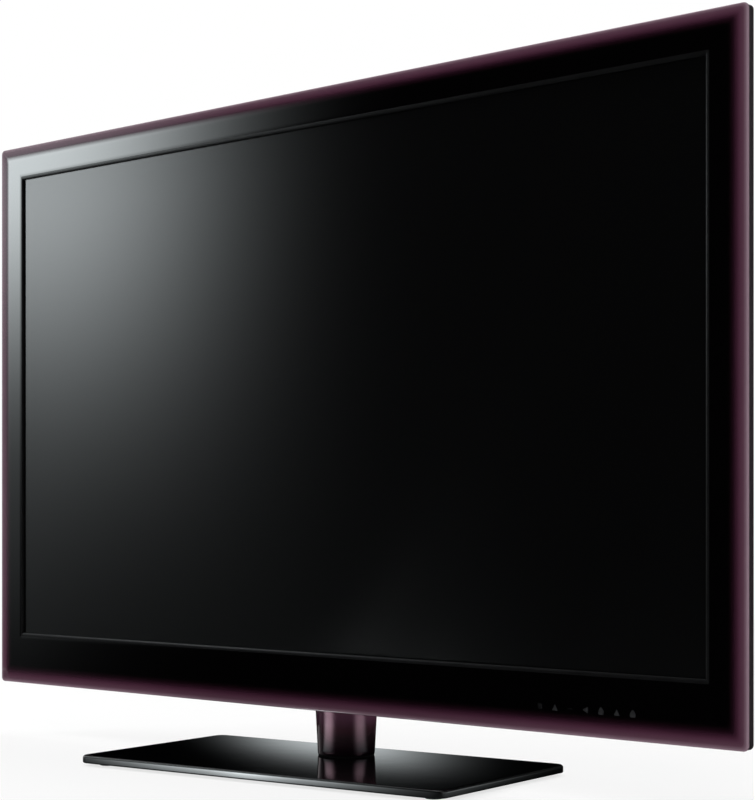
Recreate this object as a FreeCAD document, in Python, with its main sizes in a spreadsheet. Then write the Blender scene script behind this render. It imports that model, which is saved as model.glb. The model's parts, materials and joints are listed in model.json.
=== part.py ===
import FreeCAD
import Part
import Sketcher
import math
import os
import re
from FreeCAD import Vector

# Flat screen television on a swivel table stand, millimetres, +Z up, screen towards -Y.
# The origin is on the table, at the middle of the head's width and of the stand's depth.
# Three local frames are used:
#   head:  x from the middle, y from the front face to the back, z from the head's bottom edge
#   neck:  x and y from the swivel axis, z from the table, square with the head
#   stand: as neck, but turned by the angle at which the head stands on its base

doc = FreeCAD.newDocument("flat_screen_tv")

SIZES = {
    # Head outline and screen opening
    "head_wide": 1020,
    "head_tall": 629,
    "head_corner": 5,
    "side_rim": 38.5,
    "top_rim": 35.5,
    "low_rim": 55.5,
    "opening_corner": 1,
    # Front moulding and its inner frame
    "fascia_thick": 2.5,
    "fascia_round": 1.2,
    "lip_chamfer": 0.8,
    "frame_step": 0.5,
    "frame_deep": 8,
    "frame_wall": 2.2,
    "frame_web": 1.8,
    "frame_clear": 2,
    "inner_wall": 2,
    # Screen stack
    "gasket_thick": 0.6,
    "gasket_step": 2,
    "glass_lap": 6.5,
    "glass_thick": 1.4,
    "sheet_gap": 0.3,
    "sheets_thick": 1,
    "sheet_clear": 0.5,
    "guide_thick": 3,
    "guide_clear": 1.5,
    "reflector_thick": 0.3,
    "mould_step": 2,
    "mould_wall": 4.5,
    "strip_board": 1.2,
    "strip_lamp": 0.9,
    "strip_gap": 0.3,
    "strip_end": 3,
    "lamp_margin": 10,
    "lamp_lift": 0.4,
    "lamp_long": 5,
    "lamp_deep": 2.2,
    "lamp_count": 36,
    "chassis_step": 1,
    "chassis_thick": 1,
    "rib_tall": 1.4,
    "rib_wide": 12,
    "rib_end": 30,
    "rib_gap": 30,
    # Circuit boards and what stands on them
    "standoff_tall": 3,
    "standoff_radius": 3.5,
    "board_thick": 1.6,
    "board_margin": 8,
    "board_gap": 2,
    "main_low": 120,
    "main_tall": 210,
    "power_low": 150,
    "power_tall": 180,
    "timing_wide": 160,
    "timing_drop": 107,
    "timing_tall": 46,
    "chip_tall": 2,
    "sink_wide": 46,
    "sink_tall": 7,
    "sink_plate": 1.5,
    "sink_step": 3,
    "fin_count": 9,
    "fin_thick": 1.2,
    "coil_tall": 9,
    "can_radius": 5,
    "ribbon_wide": 30,
    "ribbon_thick": 0.4,
    "ribbon_inset": 32,
    "ribbon_lap": 14,
    "harness_up": 20,
    "harness_radius": 2.4,
    "plug_long": 8,
    "plug_wide": 16,
    "plug_tall": 6,
    "wire_radius": 1.6,
    "wire_bend": 9,
    "wire_inset": 14,
    "wire_up": 6,
    "source_gap": 30,
    "source_edge": 71,
    "source_tall": 15,
    "source_drop": 26,
    "flex_wide": 38,
    "flex_thick": 0.3,
    "flex_clear": 0.4,
    "flex_lap": 3,
    "flex_count": 8,
    # Loudspeakers
    "speaker_wide": 160,
    "speaker_tall": 38,
    "speaker_deep": 11.5,
    "speaker_inset": 220,
    "speaker_low": 44,
    "cone_radius": 13,
    "cone_deep": 2.5,
    # Touch keys and remote receiver, behind the lower right of the front
    "touch_inset": 297,
    "touch_wide": 190,
    "touch_low": 24,
    "touch_tall": 16,
    "touch_plug_wide": 16,
    "touch_plug_tall": 6,
    "touch_plug_deep": 3.5,
    "receiver_inset": 86,
    "receiver_wide": 18,
    "receiver_tall": 13,
    "eye_radius": 2.6,
    "lamp_radius": 1.5,
    "window_clear": 0.5,
    # Back cover
    "cover_lip": 8,
    "cover_slope": 34,
    "cover_rise": 17,
    "cover_wall": 2.4,
    "cover_corner": 14,
    "slot_wide": 3.2,
    "slot_tall": 20,
    "slot_pitch": 9,
    "slot_count": 34,
    "slot_drop": 46,
    "slot_gap": 40,
    "grille_slots": 16,
    "grille_up": 14,
    "grille_tall": 16,
    "post_radius": 5,
    "screw_shank": 1.9,
    "screw_hole": 2,
    "screw_head": 3.6,
    "screw_head_tall": 1.8,
    "screw_long": 12,
    "screw_inset": 62,
    # Wall fixing
    "wall_pitch": 200,
    "wall_lift": 5.5,
    "insert_radius": 7,
    "insert_thread": 3,
    "insert_deep": 12,
    "rail_wide": 20,
    "rail_thick": 2,
    "rail_over": 60,
    "rail_gap": 6,
    "hole_clear": 0.4,
    # Sockets
    "tray_inset": 114,
    "tray_deep": 66,
    "tray_under": 12,
    "tray_over": 10,
    "tray_wall": 1.6,
    "socket_deep": 12,
    "socket_wall": 0.5,
    "socket_clear": 0.3,
    "media_wide": 15,
    "media_tall": 5.7,
    "media_up": 10,
    "media_pitch": 30,
    "data_wide": 14,
    "data_tall": 6.4,
    "data_up": 100,
    "data_pitch": 24,
    "light_size": 9.7,
    "light_wall": 1.2,
    "light_up": 146,
    "phono_radius": 4.1,
    "phono_bore": 1.7,
    "phono_up": 164,
    "phono_pitch": 12,
    "phono_count": 3,
    "round_bore_deep": 8,
    "aerial_radius": 4.7,
    "aerial_bore": 1.2,
    "aerial_proud": 8,
    "aerial_up": 208,
    "inlet_up": 26,
    "inlet_tall": 60,
    "mains_wide": 22,
    "mains_tall": 10,
    "mains_bore_wide": 16.6,
    "mains_bore_tall": 7.8,
    "mains_pin": 1.2,
    "mains_pin_pitch": 8.6,
    # Stand bracket
    "anchor_wide": 150,
    "anchor_low": 46,
    "anchor_tall": 82,
    "anchor_thick": 3,
    "nut_wall": 2.5,
    "nut_deep": 6,
    "plate_wide": 124,
    "plate_step": 2,
    "plate_thick": 5,
    "plate_gap": 0.3,
    "fix_pitch_wide": 96,
    "fix_pitch_tall": 54,
    "fix_hole": 2.65,
    "fix_shank": 2.5,
    "fix_head": 4.8,
    "fix_head_tall": 2.6,
    "fix_long": 13,
    "web_wide": 60,
    "flange_thick": 6,
    "gusset_thick": 5,
    "gusset_pitch": 30,
    "gusset_reach": 26,
    "gusset_tall": 60,
    "gusset_top": 3,
    "shroud_wall": 2,
    "shroud_lift": 0.2,
    "shroud_gap": 0.1,
    "shroud_wide": 74,
    "shroud_top_wide": 84,
    "shroud_deep": 60,
    "shroud_top_deep": 13,
    "shroud_corner": 29,
    "shroud_top_corner": 5,
    "shroud_tall": 128,
    # Neck and swivel
    "neck_tall": 49.8,
    "neck_back": 54,
    "neck_low_radius": 29.4,
    "neck_top_radius": 32,
    "neck_flare": 1.2,
    "flare_tall": 5,
    "neck_wall": 4,
    "neck_clear": 0.3,
    "post_out": 22,
    "post_wall": 5,
    "shaft_clear": 0.06,
    "bush_wall": 3,
    "bush_flange": 2,
    "bush_flange_thick": 1.2,
    "washer_clear": 1,
    "washer_wide": 9,
    "washer_thick": 0.8,
    "turn_plate_radius": 32,
    "turn_plate_thick": 2.5,
    "tab_reach": 41,
    "tab_half": 6,
    "stop_radius": 3,
    "stop_at": 37,
    "swivel_each_way": 20,
    "well_radius": 46,
    "pilot_count": 3,
    "pilot_at": 19.5,
    "pilot_shank": 1.4,
    "pilot_clear": 0.05,
    "pilot_deep": 8,
    "pilot_head": 2.4,
    "pilot_head_tall": 0.9,
    # Table base
    "rest_turn": 6.9,
    "base_wide": 448,
    "base_deep": 229,
    "base_thick": 8,
    "base_shift": 48,
    "base_corner": 12,
    "base_top_round": 3,
    "base_low_round": 1.5,
    "base_skin": 3.2,
    "base_rim": 7,
    "weight_clear": 0.5,
    "foot_tall": 3,
    "foot_radius": 9,
    "foot_inset": 22,
    "bolt_shank": 1.9,
    "bolt_hole": 1.95,
    "bolt_head": 3.6,
    "bolt_sunk": 0.2,
    "bolt_sink": 4,
    "bolt_head_tall": 1.6,
    "bolt_bite": 1.8,
    "bolt_inset": 42,
}

# Places worked out from the sizes above
PLACES = {
    "front_y": "base_shift * cos(rest_turn) - neck_back",
    "neck_y": "base_shift * cos(rest_turn)",
    "base_top": "foot_tall + base_thick",
    "head_z": "base_top + neck_tall",
    "head_mid": "head_tall / 2",
    "screen_wide": "head_wide - 2 * side_rim",
    "screen_tall": "head_tall - low_rim - top_rim",
    "screen_mid": "low_rim + screen_tall / 2",
    "glass_wide": "screen_wide + 2 * glass_lap",
    "glass_tall": "screen_tall + 2 * glass_lap",
    "mould_wide": "glass_wide + 2 * mould_step",
    "mould_tall": "glass_tall + 2 * mould_step",
    "bay_wide": "mould_wide - 2 * mould_wall",
    "bay_tall": "mould_tall - 2 * mould_wall",
    "chassis_wide": "mould_wide + 2 * chassis_step",
    "chassis_tall": "mould_tall + 2 * chassis_step",
    "chassis_top": "screen_mid + chassis_tall / 2",
    "guide_tall": "bay_tall - 2 * (strip_board + strip_lamp + strip_gap)",
    "glass_y": "fascia_thick + gasket_thick",
    "sheets_y": "glass_y + glass_thick + sheet_gap",
    "guide_y": "sheets_y + sheets_thick",
    "reflector_y": "guide_y + guide_thick",
    "chassis_y": "reflector_y + reflector_thick",
    "chassis_back": "chassis_y + chassis_thick",
    "board_y": "chassis_back + standoff_tall",
    "board_back": "board_y + board_thick",
    "frame_back": "fascia_thick + frame_deep",
    "frame_wide": "head_wide - 2 * frame_step",
    "frame_tall": "head_tall - 2 * frame_step",
    "cover_wide": "head_wide - 2 * cover_lip",
    "cover_tall": "head_tall - 2 * cover_lip",
    "cover_back": "frame_back + cover_rise",
    "cover_inside": "cover_back - cover_wall",
    "wall_shift": "cover_wall * sqrt(1 + (cover_slope / cover_rise) ^ 2)",
    "roof_shift": "cover_slope * (cover_rise - cover_wall) / cover_rise + wall_shift",
    "wall_mid": "head_mid + wall_lift",
    "rail_low": "wall_mid - wall_pitch / 2 - rail_over",
    "rail_top": "wall_mid + wall_pitch / 2 + rail_over",
    "tray_out": "head_wide / 2 - tray_inset",
    "tray_in": "tray_out - tray_deep",
    "tray_low": "main_low - tray_under",
    "tray_tall": "tray_under + main_tall + tray_over",
    "inlet_low": "power_low + inlet_up",
    "main_left": "board_gap - tray_in",
    "power_left": "(wall_pitch + rail_wide) / 2 + rail_gap",
    "board_wide": "tray_in - board_gap - power_left",
    "main_top": "main_low + main_tall",
    "timing_low": "chassis_top - timing_drop",
    "source_wide": "chassis_wide / 2 - source_gap - source_edge",
    "source_low": "chassis_top - source_drop",
    "sink_left": "main_left + board_wide / 2",
    "sink_low": "main_low + main_tall * 0.4",
    "light_at": "main_low + light_up",
    "aerial_at": "main_low + aerial_up",
    "speaker_at": "head_wide / 2 - speaker_inset",
    "touch_left": "head_wide / 2 - touch_inset",
    "receiver_left": "head_wide / 2 - receiver_inset",
    "anchor_front": "cover_inside - anchor_thick",
    "plate_y": "cover_back + plate_gap",
    "plate_back": "plate_y + plate_thick",
    "fix_mid": "anchor_low + anchor_tall / 2",
    "post_top": "head_z - neck_clear",
    "turn_plate_top": "base_top - base_skin - washer_thick - neck_clear",
    "turn_plate_low": "turn_plate_top - turn_plate_thick",
    "well_roof": "base_top - base_skin",
    "bush_out": "post_out + shaft_clear + bush_wall",
    "shroud_low": "flange_thick - neck_clear + shroud_lift",
    "shroud_front": "plate_back + shroud_gap",
    "shroud_run": "shroud_corner + shroud_wall",
}

# How near two edges or faces are taken as level, in millimetres
LEVEL = 1e-3

sheet = doc.addObject("Spreadsheet::Sheet", "Sizes")
for row, (alias, amount) in enumerate(SIZES.items(), 1):
    sheet.set(f"A{row}", alias)
    sheet.set(f"B{row}", str(amount))
    sheet.setAlias(f"B{row}", alias)
doc.recompute()


def bound(text):
    """Turns size and place names into an expression on the sheet."""

    def one(found):
        word = found[0]
        if word in PLACES:
            return "(" + bound(PLACES[word]) + ")"
        return "Sizes." + word if word in SIZES else word

    return re.sub(r"[a-z_]+", one, str(text))


def value(text):
    """The present amount of an expression, in millimetres or degrees."""
    return float(sheet.evalExpression(bound(text)))


def link(obj, prop, text):
    obj.setExpression(prop, bound(text))


# Local frames: offset of the origin, and turn about Z
HEAD = ("0", "front_y", "head_z", None)
NECK = ("0", "neck_y", "0", None)
STAND = ("0", "neck_y", "0", "rest_turn")

nodes = []


def node(obj, label, frame):
    """Puts a finished sub-part in its frame under its own label."""
    x, y, z, turn = frame
    for axis, text in zip("xyz", (x, y, z)):
        link(obj, f"Placement.Base.{axis}", text)
    if turn:
        link(obj, "Placement.Rotation.Angle", turn)
    obj.Label = label
    nodes.append(obj)
    return obj


# Simple solids with bound sizes


def box(name, x, y, z):
    """Block between the low and high ends given for each axis."""
    obj = doc.addObject("Part::Box", name)
    for side, axis, (low, high) in zip(("Length", "Width", "Height"), "xyz", (x, y, z)):
        link(obj, side, f"({high}) - ({low})")
        link(obj, f"Placement.Base.{axis}", low)
    return obj


def stud(name, axis, radius, start, long, at):
    """Cylinder along an axis from start, at the two other coordinates in X, Y, Z order."""
    obj = doc.addObject("Part::Cylinder", name)
    link(obj, "Radius", radius)
    link(obj, "Height", long)
    turns = {"x": ((0, 1, 0), 90), "y": ((1, 0, 0), -90), "z": ((0, 0, 1), 0)}
    direction, angle = turns[axis]
    obj.Placement.Rotation = FreeCAD.Rotation(Vector(*direction), angle)
    others = [letter for letter in "xyz" if letter != axis]
    link(obj, f"Placement.Base.{axis}", start)
    for letter, text in zip(others, at):
        link(obj, f"Placement.Base.{letter}", text)
    return obj


def cone(name, low_radius, top_radius, start, tall):
    """Upright cone about the local Z axis."""
    obj = doc.addObject("Part::Cone", name)
    link(obj, "Radius1", low_radius)
    link(obj, "Radius2", top_radius)
    link(obj, "Height", tall)
    link(obj, "Placement.Base.z", start)
    return obj


def joined(name, parts):
    if len(parts) == 1:
        return parts[0]
    obj = doc.addObject("Part::MultiFuse", name)
    obj.Shapes = parts
    obj.Refine = True
    return obj


def group(name, parts):
    obj = doc.addObject("Part::Compound", name)
    obj.Links = parts
    return obj


def less(name, base, tools):
    obj = doc.addObject("Part::Cut", name)
    obj.Base = base
    obj.Tool = tools[0] if len(tools) == 1 else group(name + "_tools", tools)
    return obj


# Sketched bodies


def new_body(label):
    return doc.addObject("PartDesign::Body", label)


def origin_plane(body, role):
    return next(item for item in body.Origin.OriginFeatures if item.Role == role)


def start_sketch(body, name, role, level, mid):
    """Empty sketch on an origin plane, level along its normal, centred on mid."""
    sketch = body.newObject("Sketcher::SketchObject", name)
    sketch.AttachmentSupport = (origin_plane(body, role), "")
    sketch.MapMode = "FlatFace"
    link(sketch, "AttachmentOffset.Base.x", mid[0])
    link(sketch, "AttachmentOffset.Base.y", mid[1])
    link(sketch, "AttachmentOffset.Base.z", level)
    return sketch


def dimension(sketch, name, constraint, text):
    number = sketch.addConstraint(constraint)
    sketch.renameConstraint(number, name)
    link(sketch, f"Constraints.{name}", text)


def rounded(body, name, role, level, mid, wide, tall, corner):
    """Rectangle with four equal round corners about the sketch's origin."""
    sketch = start_sketch(body, name, role, level, mid)
    a = value(wide) / 2
    b = value(tall) / 2
    r = value(corner)
    ends = [(r - a, -b), (a - r, -b), (a, r - b), (a, b - r)]
    ends += [(-x, -y) for x, y in ends]
    for k in range(4):
        low = Vector(*ends[2 * k], 0)
        high = Vector(*ends[2 * k + 1], 0)
        sketch.addGeometry(Part.LineSegment(low, high), False)
    for k, (x, y) in enumerate([(a - r, r - b), (a - r, b - r), (r - a, b - r), (r - a, r - b)]):
        circle = Part.Circle(Vector(x, y, 0), Vector(0, 0, 1), r)
        start = (k - 1) * math.pi / 2
        sketch.addGeometry(Part.ArcOfCircle(circle, start, start + math.pi / 2), False)
    rule = Sketcher.Constraint
    for k in range(4):
        sketch.addConstraint(rule("Tangent", k, 2, 4 + k, 1))
        sketch.addConstraint(rule("Tangent", 4 + k, 2, (k + 1) % 4, 1))
    for k in (0, 2):
        sketch.addConstraint(rule("Horizontal", k))
        sketch.addConstraint(rule("Vertical", k + 1))
    for k in (5, 6, 7):
        sketch.addConstraint(rule("Equal", 4, k))
    sketch.addConstraint(rule("Symmetric", 4, 3, 6, 3, -1, 1))
    dimension(sketch, "wide", rule("DistanceX", 3, 1, 1, 1, 2 * a), wide)
    dimension(sketch, "tall", rule("DistanceY", 0, 1, 2, 1, 2 * b), tall)
    dimension(sketch, "corner", rule("Radius", 4, r), corner)
    return sketch


def disc(body, name, role, level, mid, radius):
    sketch = start_sketch(body, name, role, level, mid)
    sketch.addGeometry(Part.Circle(Vector(0, 0, 0), Vector(0, 0, 1), value(radius)), False)
    sketch.addConstraint(Sketcher.Constraint("Coincident", 0, 3, -1, 1))
    dimension(sketch, "radius", Sketcher.Constraint("Radius", 0, value(radius)), radius)
    return sketch


def pad(body, sketch, long, reverse=False):
    feature = body.newObject("PartDesign::Pad", sketch.Name + "_pad")
    feature.Profile = sketch
    feature.Reversed = reverse
    link(feature, "Length", long)
    doc.recompute()
    return feature


def pocket(body, sketch, deep, reverse=False):
    """Cuts the sketch's area, and stops the build if nothing was cut."""
    before = body.Shape.Volume
    feature = body.newObject("PartDesign::Pocket", sketch.Name + "_pocket")
    feature.Profile = sketch
    feature.Reversed = reverse
    link(feature, "Length", deep)
    doc.recompute()
    if body.Shape.Volume >= before - 1e-6:
        raise RuntimeError(sketch.Name + " cuts nothing")
    return feature


def loft(body, sketches, cut=False):
    kind = "SubtractiveLoft" if cut else "AdditiveLoft"
    feature = body.newObject("PartDesign::" + kind, sketches[0].Name + "_loft")
    feature.Profile = sketches[0]
    feature.Sections = sketches[1:]
    feature.Ruled = True
    doc.recompute()
    return feature


def dress(body, kind, prop, text, chosen):
    """Fillet or chamfer on the edges of the body's tip that the test chooses."""
    tip = body.Tip
    names = [f"Edge{k}" for k, edge in enumerate(tip.Shape.Edges, 1) if chosen(edge.BoundBox)]
    feature = body.newObject("PartDesign::" + kind, f"{body.Name}_{prop.lower()}_{text}")
    feature.Base = (tip, names)
    link(feature, prop, text)
    doc.recompute()
    return feature


def upright_plate(label, wide, tall, corner, mid, front, thick):
    """Rounded plate facing the viewer, from its front face to the back."""
    body = new_body(label)
    sketch = rounded(body, label + "_outline", "XZ_Plane", f"-({front})", ("0", mid), wide, tall, corner)
    pad(body, sketch, thick, reverse=True)
    return body


def upright_opening(body, name, wide, tall, corner, mid, front, deep, side="0"):
    """Pocket towards the back, from a level behind the front face."""
    sketch = rounded(body, name, "XZ_Plane", f"-({front})", (side, mid), wide, tall, corner)
    return pocket(body, sketch, deep)


# Front moulding: one glossy ring around the screen


def make_front_fascia():
    body = upright_plate(
        "front_fascia", "head_wide", "head_tall", "head_corner", "head_mid", "0", "fascia_thick"
    )
    opening = ("screen_wide", "screen_tall", "opening_corner", "screen_mid")
    upright_opening(body, "screen_opening", *opening, "0", "fascia_thick")
    inner = value("screen_wide") / 2 + 0.01
    low = value("low_rim") - 0.01
    high = low + value("screen_tall") + 0.02

    def at_front(edge):
        return abs(edge.YMin) < LEVEL and abs(edge.YMax) < LEVEL

    def inside(edge):
        return max(-edge.XMin, edge.XMax) < inner and edge.ZMin > low and edge.ZMax < high

    dress(body, "Fillet", "Radius", "fascia_round", lambda edge: at_front(edge) and not inside(edge))
    dress(body, "Chamfer", "Size", "lip_chamfer", lambda edge: at_front(edge) and inside(edge))
    return node(body, "front_fascia", HEAD)


def make_front_frame():
    """Black inner frame: thin front web, outer wall, inner wall round the screen's chassis."""
    body = upright_plate(
        "front_frame", "frame_wide", "frame_tall", "head_corner", "head_mid", "fascia_thick", "frame_deep"
    )
    upright_opening(
        body,
        "chassis_bay",
        "chassis_wide + 2 * frame_clear",
        "chassis_tall + 2 * frame_clear",
        "opening_corner",
        "screen_mid",
        "fascia_thick",
        "frame_deep",
    )
    start = "fascia_thick + frame_web"
    deep = "frame_deep - frame_web"
    low = "screen_mid - chassis_tall / 2 - frame_clear - inner_wall"
    high = "screen_mid + chassis_tall / 2 + frame_clear + inner_wall"
    floor = "frame_step + frame_wall"
    roof = "head_tall - frame_step - frame_wall"
    wide = "frame_wide - 2 * frame_wall"
    for name, bottom, top in (("low_channel", floor, low), ("high_channel", high, roof)):
        upright_opening(
            body, name, wide, f"({top}) - ({bottom})", "1", f"(({top}) + ({bottom})) / 2", start, deep
        )
    windows = (
        ("touch_window", "touch_left", "touch_wide", "touch_tall"),
        ("receiver_window", "receiver_left", "receiver_wide", "receiver_tall"),
    )
    for name, left, wide, tall in windows:
        upright_opening(
            body,
            name,
            f"{wide} + 2 * window_clear",
            f"{tall} + 2 * window_clear",
            "0.5",
            f"touch_low + {tall} / 2",
            "fascia_thick",
            "frame_web",
            f"{left} + {wide} / 2",
        )
    return node(body, "front_frame", HEAD)


# Screen stack, front to back


def make_screen_stack():
    gasket = upright_plate(
        "screen_gasket", "glass_wide", "glass_tall", "1", "screen_mid", "fascia_thick", "gasket_thick"
    )
    upright_opening(
        gasket,
        "gasket_opening",
        "screen_wide + 2 * gasket_step",
        "screen_tall + 2 * gasket_step",
        "1",
        "screen_mid",
        "fascia_thick",
        "gasket_thick",
    )
    node(gasket, "screen_gasket", HEAD)
    sheet = ("bay_wide - 2 * sheet_clear", "bay_tall - 2 * sheet_clear")
    layers = (
        ("screen_glass", "glass_wide", "glass_tall", "glass_y", "glass_thick"),
        ("optical_sheets", *sheet, "sheets_y", "sheets_thick"),
        ("light_guide", "bay_wide - 2 * guide_clear", "guide_tall", "guide_y", "guide_thick"),
        ("reflector_sheet", *sheet, "reflector_y", "reflector_thick"),
    )
    for label, wide, tall, front, thick in layers:
        node(upright_plate(label, wide, tall, "0.5", "screen_mid", front, thick), label, HEAD)


def make_middle_mould():
    """Plastic ring that holds the sheets, the light guide and the lamp strips."""
    front = "glass_y + glass_thick"
    deep = "chassis_y - glass_y - glass_thick"
    body = upright_plate("middle_mould", "mould_wide", "mould_tall", "1", "screen_mid", front, deep)
    upright_opening(body, "sheet_bay", "bay_wide", "bay_tall", "0.5", "screen_mid", front, deep)
    return node(body, "middle_mould", HEAD)


def make_lamp_strip(label, sign):
    """Strip board on the mould's wall, with its lamps towards the light guide."""
    wall = f"screen_mid + {sign} * bay_tall / 2"
    face = f"{wall} - {sign} * strip_board"
    tip = f"{face} - {sign} * strip_lamp"
    ends = (wall, face) if sign < 0 else (face, wall)
    span = ("strip_end - bay_wide / 2", "bay_wide / 2 - strip_end")
    board = box(label + "_board", span, ("guide_y", "reflector_y"), ends)
    count = int(value("lamp_count"))
    reach = (tip, face) if sign > 0 else (face, tip)
    lamps = []
    for k in range(count):
        middle = f"(bay_wide - 2 * lamp_margin) * (({k} + 0.5) / lamp_count - 0.5)"
        span = (f"{middle} - lamp_long / 2", f"{middle} + lamp_long / 2")
        deep = ("guide_y + lamp_lift", "guide_y + lamp_lift + lamp_deep")
        lamps.append(box(f"{label}_lamp_{k}", span, deep, reach))
    return node(joined(label, [board] + lamps), label, HEAD)


def make_chassis():
    """Pressed steel back of the screen, with stiffening ribs across it."""
    body = upright_plate(
        "screen_chassis", "chassis_wide", "chassis_tall", "1", "screen_mid", "chassis_y", "chassis_thick"
    )
    for k, height in enumerate(("rail_low + rib_wide", "main_top + rib_gap", "timing_low - rib_gap")):
        outline = ("chassis_wide - 2 * rib_end", "rib_wide", "rib_wide / 3")
        sketch = rounded(body, f"rib_{k}", "XZ_Plane", "-chassis_back", ("0", height), *outline)
        pad(body, sketch, "rib_tall", reverse=True)
    return node(body, "screen_chassis", HEAD)


# Circuit boards


def board_corners(left, wide, low, tall):
    right = f"{left} + {wide} - board_margin"
    top = f"{low} + {tall} - board_margin"
    return [(x, z) for x in (f"{left} + board_margin", right) for z in (f"{low} + board_margin", top)]


# Left edge, width, low edge and height of each board
BOARDS = {
    "main": ("main_left", "board_wide", "main_low", "main_tall"),
    "power": ("power_left", "board_wide", "power_low", "power_tall"),
    "timing": ("-timing_wide / 2", "timing_wide", "timing_low", "timing_tall"),
}

# Left edge, width, low edge and height of the pieces on each board, as shares of the board
PIECES = {
    "main": (
        (0.28, 0.105, 0.19, 0.105),
        (0.28, 0.085, 0.71, 0.085),
        (0.82, 0.075, 0.19, 0.075),
        (0.82, 0.066, 0.38, 0.066),
    ),
    "power": (
        (0.11, 0.22, 0.22, 0.22),
        (0.11, 0.14, 0.60, 0.24),
        (0.42, 0.17, 0.17, 0.19),
        (0.42, 0.19, 0.51, 0.14),
        (0.74, 0.16, 0.22, 0.33),
    ),
    "timing": (
        (0.125, 0.175, 0.17, 0.43),
        (0.41, 0.175, 0.17, 0.43),
        (0.71, 0.175, 0.17, 0.43),
    ),
}
# The same for the row of upright capacitors: first centre, pitch and height of the centres
CANS = (0.47, 0.066, 0.83)


def on_board(name, left, wide, low, tall, rise):
    """Component block standing on a board's back face."""
    x = (left, f"{left} + {wide}")
    return box(name, x, ("board_back", f"board_back + {rise}"), (low, f"{low} + {tall}"))


def fitted_board(name, rise):
    """Bare board and the blocks on its back face."""
    left, wide, low, tall = BOARDS[name]
    span = ((left, f"{left} + {wide}"), ("board_y", "board_back"), (low, f"{low} + {tall}"))
    parts = [box(name + "_sheet", *span)]
    for k, (across, broad, up, high) in enumerate(PIECES[name]):
        x = (f"{left} + {across} * {wide}", f"{broad} * {wide}")
        z = (f"{low} + {up} * {tall}", f"{high} * {tall}")
        parts.append(on_board(f"{name}_piece_{k}", *x, *z, rise))
    return parts


def make_boards():
    chips = fitted_board("main", "chip_tall")
    core = ("sink_left + sink_step", "sink_wide - 2 * sink_step")
    tall = ("sink_low + sink_step", "sink_wide - 2 * sink_step", "chip_tall")
    chips.append(on_board("main_core", *core, *tall))
    node(joined("main_board", chips), "main_board", HEAD)

    z = ("sink_low", "sink_low + sink_wide")
    start = "board_back + chip_tall"
    fins = [box("sink_plate", ("sink_left", "sink_left + sink_wide"), (start, f"{start} + sink_plate"), z)]
    for k in range(int(value("fin_count"))):
        left = f"sink_left + (sink_wide - fin_thick) * {k} / (fin_count - 1)"
        x = (left, f"{left} + fin_thick")
        fins.append(box(f"sink_fin_{k}", x, (start, f"{start} + sink_tall"), z))
    node(joined("heat_sink", fins), "heat_sink", HEAD)

    power = fitted_board("power", "coil_tall")
    first, pitch, up = CANS
    for k in range(4):
        place = (f"power_left + ({first} + {k} * {pitch}) * board_wide", f"power_low + {up} * power_tall")
        power.append(stud(f"power_can_{k}", "y", "can_radius", "board_back", "coil_tall", place))
    node(joined("power_board", power), "power_board", HEAD)
    node(joined("timing_board", fitted_board("timing", "chip_tall")), "timing_board", HEAD)


def make_standoffs():
    """Short pillars between the chassis and each board."""
    pillars = []
    for name, outline in BOARDS.items():
        for k, place in enumerate(board_corners(*outline)):
            pillars.append(
                stud(f"{name}_pillar_{k}", "y", "standoff_radius", "chassis_back", "standoff_tall", place)
            )
    node(group("board_standoffs", pillars), "board_standoffs", HEAD)


def make_source_boards():
    """Two long thin boards at the top of the chassis, and the flexes that reach the glass."""
    strips = []
    for k, sign in enumerate((-1, 1)):
        middle = f"{sign} * (source_wide / 2 + source_gap)"
        strips.append(
            box(
                f"source_strip_{k}",
                (f"{middle} - source_wide / 2", f"{middle} + source_wide / 2"),
                ("chassis_back", "chassis_back + board_thick"),
                ("source_low", "source_low + source_tall"),
            )
        )
    node(group("source_boards", strips), "source_boards", HEAD)
    top = "chassis_top + flex_clear"
    back = "chassis_back + board_thick"
    flexes = []
    for k in range(int(value("flex_count"))):
        side = -1 if k % 2 else 1
        middle = f"{side} * (source_gap + source_wide * ({k // 2} + 0.5) * 2 / flex_count)"
        span = (f"{middle} - flex_wide / 2", f"{middle} + flex_wide / 2")
        over = box(f"flex_over_{k}", span, ("glass_y", f"{back} + flex_thick"), (top, f"{top} + flex_thick"))
        down = box(f"flex_down_{k}", span, (back, f"{back} + flex_thick"), ("source_low + flex_lap", top))
        glued = box(
            f"flex_glued_{k}",
            span,
            ("glass_y", "glass_y + flex_thick"),
            ("screen_mid + glass_tall / 2", top),
        )
        flexes.append(joined(f"flex_{k}", [over, down, glued]))
    node(group("screen_flexes", flexes), "screen_flexes", HEAD)


def make_cables():
    """Flat display ribbon, power harness and the two loudspeaker leads."""
    middle = "timing_low + timing_tall / 2"
    high = f"{middle} + ribbon_wide / 2"
    left = "ribbon_inset - power_left - ribbon_wide * 2"
    y = ("board_back", "board_back + ribbon_thick")
    rise = box("ribbon_rise", (left, f"{left} + ribbon_wide"), y, ("main_top - ribbon_lap", high))
    end = "ribbon_lap - timing_wide / 2"
    run = box("ribbon_run", (left, end), y, (f"{middle} - ribbon_wide / 2", high))
    node(joined("display_ribbon", [rise, run]), "display_ribbon", HEAD)

    high = "power_low + harness_up"
    middle = "board_back + plug_tall / 2"
    start = "-power_left - plug_long"
    end = "power_left + plug_long"
    bottom = f"{high} - plug_wide / 2"
    plugs = [
        on_board(f"harness_plug_{k}", left, "plug_long", bottom, "plug_wide", "plug_tall")
        for k, left in enumerate((start, "power_left"))
    ]
    reach = f"{end} - ({start}) - 2"
    wire = stud("harness_wire", "x", "harness_radius", f"{start} + 1", reach, (middle, high))
    node(joined("power_harness", plugs + [wire]), "power_harness", HEAD)


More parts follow.
